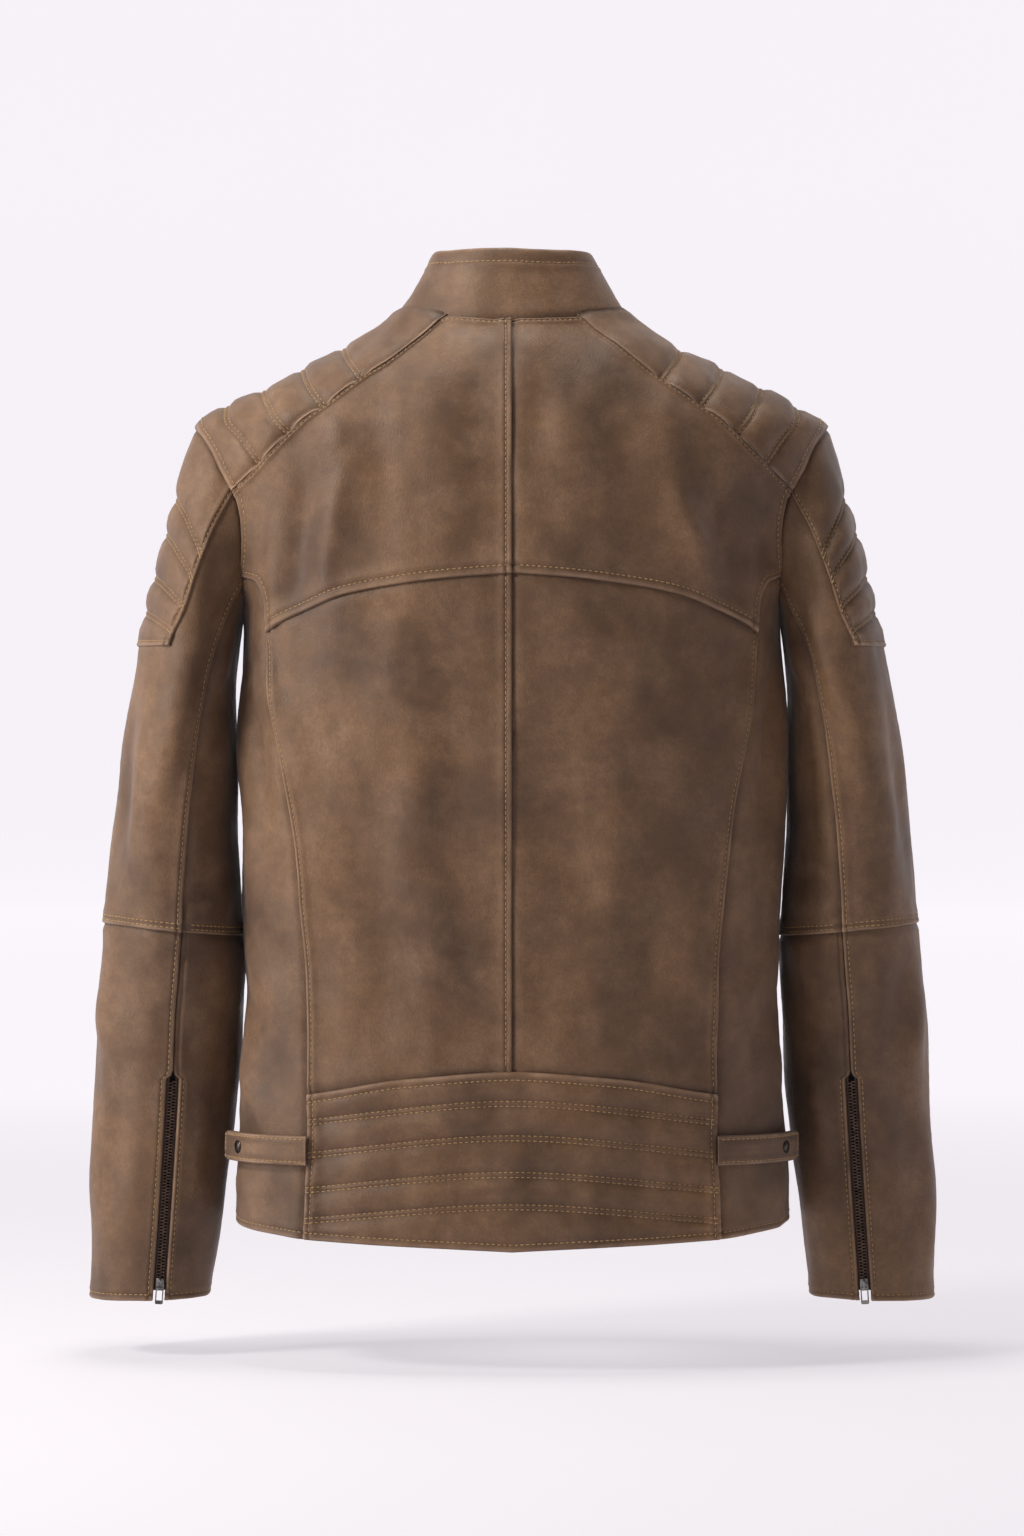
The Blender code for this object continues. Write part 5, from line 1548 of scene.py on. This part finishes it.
def make_slider(name, frame, low, length, bridge_low):
    """Two plates joined by a bridge, the upper one with a staple for the pull."""
    top = CHAIN_TOP + SLIDER_GAP
    bottom = CHAIN_BOTTOM - SLIDER_GAP
    face = top + SLIDER_PLATE
    crown = face + STAPLE_WINDOW
    high = low + length
    points, faces = [], []
    outline = rounded(SLIDER_HALF_WIDTH, low, high, 0.0010, 0.86)
    slab(points, faces, outline, top, face)
    slab(points, faces, outline, bottom - SLIDER_PLATE, bottom)
    bridge = rounded(BRIDGE_HALF_WIDTH, bridge_low, bridge_low + 0.002, 0.0001)
    slab(points, faces, bridge, bottom - SLIDER_PLATE / 2, top + SLIDER_PLATE / 2, 0.00005)
    slim = STAPLE_HALF_WIDTH
    foot = STAPLE_MARGIN
    for start in (low + foot, high - foot - STAPLE_BAR):
        slab(points, faces, rounded(slim, start, start + STAPLE_BAR, 0.0002), face - 0.0003, crown + 0.0002)
    slab(points, faces, rounded(slim, low + foot, high - foot, 0.0003), crown, crown + STAPLE_BAR)
    metal_piece(name, frame, points, faces, METAL_FINISH)
    return face + STAPLE_WINDOW / 2


def make_pull(name, frame, bar, height, length):
    """A flat frame whose upper bar lies in the slider's staple, with a solid tongue below its window."""
    half = PULL_BAR / 2
    wide = PULL_HALF_WIDTH
    low, high = bar + half - length, bar + half
    points, faces = [], []
    tongue = min(TONGUE_SHARE * length, TONGUE_LENGTH)
    outer = rounded(wide, low, high, 0.0011, 0.96)
    inner = rounded(wide - 1.2 * PULL_BAR, low + tongue * 0.55, high - PULL_BAR, 0.0004)
    hoop(points, faces, outer, inner, height - half, height + half)
    metal_piece(name, frame, points, faces, METAL_FINISH)


def make_cuff_zip(side, word):
    middle = sleeve_middle(side)
    mirror = np.array([side, 1, 1])

    def at_seam(along):
        along = np.array(along)
        return sleeve_point(stacked(along, smooth(BACK_SLEEVE_SEAM, along))) * mirror

    def tape_face(offset, v):
        along = CUFF_TAPE_TOP + (CUFF_ZIP_END - CUFF_TAPE_TOP) * v
        return sleeve_point(stacked(along, seam_turn(along, BACK_SLEEVE_SEAM, offset)))

    bottom, top = at_seam(CUFF_ZIP_END), at_seam(CUFF_ZIP_TOP)
    frame = ZipFrame(bottom, top, bottom - middle(bottom))
    make_tape(f"cuff_zip_tape_{word}", tape_face, middle, side)
    make_teeth(f"cuff_zip_chain_{word}", frame, 0.0002, frame.length - 0.001)
    height = make_slider(f"cuff_zip_slider_{word}", frame, 0.0, CUFF_SLIDER_LENGTH, STAPLE_BAR)
    bar = STAPLE_MARGIN + STAPLE_BAR + PULL_BAR
    make_pull(f"cuff_zip_pull_{word}", frame, bar, height, CUFF_PULL_LENGTH)


def make_front_zip():
    def tape_face(offset, v):
        height = FRONT_ZIP_TOP + (FRONT_ZIP_END - TAPE_END - FRONT_ZIP_TOP) * v
        return body_point(stacked(180 - np.degrees(np.arctan(offset / front_depth(height))), height))

    bottom = body_point(np.array([180.0, FRONT_ZIP_END]))
    top = body_point(np.array([180.0, FRONT_ZIP_TOP]))
    frame = ZipFrame(bottom, top, np.array([0, 1, 0]))
    make_tape("front_zip_tape", tape_face, body_middle, 1)
    make_teeth("front_zip_chain", frame, 0.0002, frame.length)
    low = frame.length - FRONT_SLIDER_LENGTH
    height = make_slider("front_zip_slider", frame, low, FRONT_SLIDER_LENGTH, frame.length - STAPLE_BAR - 0.002)
    make_pull("front_zip_pull", frame, low + STAPLE_MARGIN + STAPLE_BAR + PULL_BAR, height, FRONT_PULL_LENGTH)


# Waist straps, snaps, pockets and the hang loop.
STRAP_TOP = -0.5760
STRAP_BOTTOM = -0.5970
STRAP_PATH = [(0.1452, -0.0815), (0.1480, -0.0805), (0.1650, -0.0710), (0.1830, -0.0570), (0.1960, -0.0390),
              (0.2050, -0.0190)]
STRAP_LENGTH = 0.086
STRAP_THICKNESS = 0.0024
STRAP_TUCK = -0.035
SNAP_ON_STRAP = 0.72
SNAP_RADIUS = 0.0046
PRESS_GAP = 0.0003
STUD_TURN = 74.0
STRAP_EDGE = [(0.0, -0.0009), (0.0003, -0.0003), (0.0010, 0.0002), (0.0018, 0.0002), (0.0026, -0.0002),
              (0.0034, 0.0001), (0.0050, 0.0003), (0.0080, 0.0002)]
STRAP_TIP = 0.0050


def strap_place(u, v):
    """The right waist strap's outer face, from its seam to its rounded tip."""
    marks = [STRAP_TUCK, *np.linspace(0, 1, len(STRAP_PATH) - 1)]
    x, y = (smooth([(mark, spot[axis]) for mark, spot in zip(marks, STRAP_PATH)], u) for axis in (0, 1))
    tip = np.clip((u * STRAP_LENGTH - STRAP_LENGTH + STRAP_TIP) / STRAP_TIP, 0, 1)
    narrow = 1 - 0.30 * (1 - np.sqrt(1 - tip**2 * 0.98))
    middle = (STRAP_TOP + STRAP_BOTTOM) / 2
    return stacked(x, y, middle + (STRAP_TOP - STRAP_BOTTOM) / 2 * (1 - 2 * v) * narrow)


def turned(points, faces, profile, sides=28):
    """Adds a round shape, from (radius, height) points that start and end on its axis."""
    base = len(points)
    for radius, height in profile:
        for k in range(sides):
            angle = 2 * math.pi * k / sides
            points.append((radius * math.cos(angle), radius * math.sin(angle), height))
    for ring in range(len(profile) - 1):
        for k in range(sides):
            after = (k + 1) % sides
            faces.append([base + ring * sides + k, base + ring * sides + after,
                          base + (ring + 1) * sides + after, base + (ring + 1) * sides + k])
    faces.append([base + k for k in range(sides)][::-1])
    last_ring = base + (len(profile) - 1) * sides
    faces.append([last_ring + k for k in range(sides)])


STRAP_STITCH_AT = 0.0026
# The press cap and its stud: (radius, height) from the axis and back to it.
CAP = [(0.0002, PRESS_GAP), (SNAP_RADIUS, PRESS_GAP), (SNAP_RADIUS, 0.0008), (SNAP_RADIUS * 0.94, 0.0011),
       (SNAP_RADIUS * 0.78, 0.0010), (SNAP_RADIUS * 0.70, 0.0013), (SNAP_RADIUS * 0.40, 0.0018),
       (0.0002, 0.0019)]
STUD = [(0.0002, 0.0004), (0.0030, 0.0004), (0.0030, 0.0008), (0.0017, 0.0011), (0.0015, 0.0014),
        (0.0018, 0.0018), (0.0013, 0.0020), (0.0002, 0.0020)]


def make_snap_part(name, spot, out, profile, sides):
    """A round metal part that stands out from a spot."""
    points, faces = [], []
    turned(points, faces, profile, sides)
    frame = ZipFrame(spot, spot + np.array([0, 0, 1.0]), out)
    metal_piece(name, frame, points, faces, SNAP_FINISH)


def make_snap(side, word):
    """The press cap on a waist strap and the stud under it."""
    mirror = np.array([side, 1, 1])
    spot = strap_place(np.array(SNAP_ON_STRAP), np.array(0.5)) * mirror
    run = strap_place(np.array(SNAP_ON_STRAP + 0.02), np.array(0.5)) * mirror - spot
    out = np.array([-run[1], run[0], 0]) * -side
    out /= np.linalg.norm(out)
    make_snap_part(f"strap_snap_{word}", spot, out, CAP, 28)
    foot = body_point(np.array([STUD_TURN, (STRAP_TOP + STRAP_BOTTOM) / 2])) * mirror
    make_snap_part(f"waist_stud_{word}", foot, out, STUD, 20)


def make_strap(side, word):
    """A waist strap with a stitched edge and a rounded tip, and its snap."""
    def face(u, v):
        return strap_place(STRAP_TUCK + (1 - STRAP_TUCK) * u, v)

    rows = [first(STRAP_EDGE), last(STRAP_EDGE)]
    grid = Grid(face, [first(PLAIN), last(STRAP_EDGE)], rows, FINE_STEP, side)
    sag = ripples(grid.points, 0.03, 31) * 0.0004
    leather_piece(f"waist_strap_{word}", grid, all_edges(grid), lambda points, side: sag,
                  thickness=STRAP_THICKNESS * 0.8)
    group = f"strap_{word}"
    for seam in (0, 1):
        stitch_edge(group, grid, "down", seam, 1, 4, STRAP_STITCH_AT)
    stitch_edge(group, grid, "across", 1, 4, 4, STRAP_STITCH_AT)
    make_snap(side, word)


POCKET_TOP = (136.0, -0.405)
POCKET_BOTTOM = (121.0, -0.530)
WELT_TURN = 5.6
WELT_PROUD = 0.0040
BAG_FROM = (113.0, -0.420)
BAG_TO = (143.0, -0.590)
BAG_DEPTH = 0.0048
BAG_THICKNESS = 0.0012


def make_pockets(side, word):
    """A slanted, stitched welt over each hand pocket and the flat bag behind the front leather."""
    def welt(u, v):
        turn = POCKET_TOP[0] + (POCKET_BOTTOM[0] - POCKET_TOP[0]) * v
        height = POCKET_TOP[1] + (POCKET_BOTTOM[1] - POCKET_TOP[1]) * v
        return body_point(stacked(turn + WELT_TURN * (0.5 - u), height))

    def bag(u, v):
        turn = BAG_FROM[0] + (BAG_TO[0] - BAG_FROM[0]) * u
        return body_point(stacked(turn, BAG_FROM[1] + (BAG_TO[1] - BAG_FROM[1]) * v))

    ends = [first(STRAP_EDGE), last(STRAP_EDGE)]
    grid = Grid(welt, ends, ends, FINE_STEP, side)
    leather_piece(f"pocket_welt_{word}", grid, WELT_PROUD * 0.5 + all_edges(grid))
    for way in ("down", "across"):
        for seam in (0, 1):
            stitch_edge(TORSO, grid, way, seam, 3, 3, STRAP_STITCH_AT)
    hidden_sheet(f"pocket_bag_{word}", bag, side, BAG_DEPTH, BAG_THICKNESS, LINING_FINISH,
                 body_middle, 0.0)


LOOP_HALF_LENGTH = 0.030
LOOP_STAND_OFF = 0.0105
LOOP_BACK = -0.0470
LOOP_TOP = -0.0080
LOOP_BOTTOM = -0.0160
LOOP_EDGE = [(0.0, -0.0003), (0.0003, 0.0), (0.0012, 0.0002), (0.0020, 0.0001)]
LOOP_THICKNESS = 0.0013


def make_hang_loop():
    """A narrow strip inside the back neck that stands away from the lining between its two ends."""
    def surface(u, v):
        x = LOOP_HALF_LENGTH * (2 * u - 1)
        y = LOOP_BACK + LOOP_STAND_OFF * (1 - (x / LOOP_HALF_LENGTH) ** 2)
        return stacked(x, y, LOOP_TOP + (LOOP_BOTTOM - LOOP_TOP) * v)

    ends = [first(LOOP_EDGE), last(LOOP_EDGE)]
    grid = Grid(surface, ends, ends, 0.002)
    leather_piece("hang_loop", grid, edge_relief(grid, "down"),
                  lambda points, side: np.zeros(points.shape[:-1]),
                  lambda points: points - np.array([0, -1, 0]), LOOP_THICKNESS)


make_body()
for word, side in SIDE_OF.items():
    make_sleeve(side, word)
    make_cuff_zip(side, word)
    make_strap(side, word)
    make_pockets(side, word)
make_front_zip()
make_linings()
make_hang_loop()
finish_stitches()

# The camera, the backdrop and the light.
CAMERA_DISTANCE = 3.6
CAMERA_HEIGHT = -0.317
LENS = 117.2
SENSOR_WIDTH = 36
FLOOR = -0.742
BACKDROP_RADIUS = 14.0
BACKDROP_CURVE = 2.5
BACKDROP_HEIGHT = 12.0
BACKDROP_SIDES = 72
BACKDROP_BENDS = 12
BACKDROP_MIDDLE = 2.0

# The backdrop's own glow grows from the floor below the jacket to the wall. It is dimmer in front of the
# jacket than behind it, and dimmer high up in front.
FLOOR_GLOW = 0.55
WALL_GLOW = 0.90
GLOW_RAMP = (0.6, 3.1)
DIM_SIDE = 0.05
LOW_SIDE = 0.55
SIDE_RAMP = (-6.0, -0.5)
LOW_RAMP = (2.5, 5.5)
FLOOR_COLOUR = (0.30, 0.29, 0.30, 1)
WALL_COLOUR = (0.12, 0.12, 0.12, 1)
GLOW_TINTS = ("f8f3fa", "faf5fb")

# Lights: name, place, size, power and tint.
LIGHTS = [
    ("key", (-1.45, -0.85, 0.85), (0.4, 0.4), 31, (1.0, 0.97, 0.92)),
    ("side", (-2.2, -0.7, -0.1), (0.8, 1.2), 25, (1.0, 0.97, 0.93)),
    ("fill", (1.4, -3.0, 0.8), (1.6, 1.6), 2, (1.0, 0.98, 0.96)),
    ("above", (-0.12, -0.06, 1.7), (0.35, 0.35), 27, (1.0, 0.98, 0.95)),
]
LIGHT_AIM = (0, 0, -0.35)
WORLD_COLOUR = (0.95, 0.93, 0.93, 1)
WORLD_STRENGTH = 0.05


def make_camera():
    camera = bpy.data.objects.new("camera", bpy.data.cameras.new("camera"))
    camera.data.lens = LENS
    camera.data.sensor_width = SENSOR_WIDTH
    camera.data.sensor_fit = "AUTO"
    camera.location = (0, -CAMERA_DISTANCE, CAMERA_HEIGHT)
    camera.rotation_euler = (math.radians(90), 0, 0)
    bpy.context.scene.collection.objects.link(camera)
    bpy.context.scene.camera = camera


def backdrop_finish():
    made, tree, shader, place = finish_base("backdrop", 0.9)
    shade = mixed(tree, noise(tree, place, 0.6), *(colour(code) for code in GLOW_TINTS))
    away = tree.nodes.new("ShaderNodeVectorMath")
    away.operation = "LENGTH"
    tree.links.new(place, away.inputs[0])
    share = stretched(tree, away.outputs["Value"], *GLOW_RAMP)
    tree.links.new(mixed(tree, share, FLOOR_COLOUR, WALL_COLOUR), shader.inputs["Base Color"])
    tree.links.new(shade, shader.inputs["Emission Color"])
    parts = tree.nodes.new("ShaderNodeSeparateXYZ")
    tree.links.new(place, parts.inputs[0])
    glow = tree.nodes.new("ShaderNodeMath")
    glow.operation = "MULTIPLY"
    tree.links.new(stretched(tree, share, 0, 1, FLOOR_GLOW, WALL_GLOW), glow.inputs[0])
    from_back = stretched(tree, parts.outputs["Y"], *SIDE_RAMP, DIM_SIDE, 1.0)
    low = stretched(tree, parts.outputs["Z"], *LOW_RAMP, LOW_SIDE, DIM_SIDE)
    tree.links.new(low, from_back.node.inputs["To Min"])
    tree.links.new(from_back, glow.inputs[1])
    tree.links.new(glow.outputs[0], shader.inputs["Emission Strength"])
    return made


def make_backdrop():
    """A pale round floor that curves up into a wall on every side."""
    flat_to = BACKDROP_RADIUS - BACKDROP_CURVE
    bends = np.linspace(0, math.pi / 2, BACKDROP_BENDS)
    profile = [(BACKDROP_MIDDLE, 0.0)]
    profile += [(flat_to + BACKDROP_CURVE * math.sin(a), BACKDROP_CURVE * (1 - math.cos(a))) for a in bends]
    profile.append((BACKDROP_RADIUS, BACKDROP_HEIGHT))
    turns = 2 * np.pi * np.arange(BACKDROP_SIDES) / BACKDROP_SIDES
    points = np.array([(r * math.cos(t), r * math.sin(t), FLOOR + z) for r, z in profile for t in turns])
    quads = grid_faces(len(profile), BACKDROP_SIDES, 0, True, closed=True).tolist()
    quads.append(list(range(BACKDROP_SIDES)))
    finish = backdrop_finish()
    mesh = new_mesh("backdrop", points, quads)
    tidy_normals(mesh)
    new_object("backdrop", mesh, finish)


def add_light(name, place, size, power, tint):
    data = bpy.data.lights.new(name, "AREA")
    data.shape = "RECTANGLE"
    data.size, data.size_y = size
    data.energy = power
    data.color = tint
    made = bpy.data.objects.new(name, data)
    made.location = place
    made.rotation_euler = (Vector(LIGHT_AIM) - Vector(place)).to_track_quat("-Z", "Y").to_euler()
    bpy.context.scene.collection.objects.link(made)


def make_world():
    world = bpy.data.worlds.new("world")
    world.use_nodes = True
    background = world.node_tree.nodes["Background"]
    background.inputs["Color"].default_value = WORLD_COLOUR
    background.inputs["Strength"].default_value = WORLD_STRENGTH
    bpy.context.scene.world = world


make_camera()
make_backdrop()
for light in LIGHTS:
    add_light(*light)
make_world()
bpy.context.scene.view_settings.view_transform = "Standard"
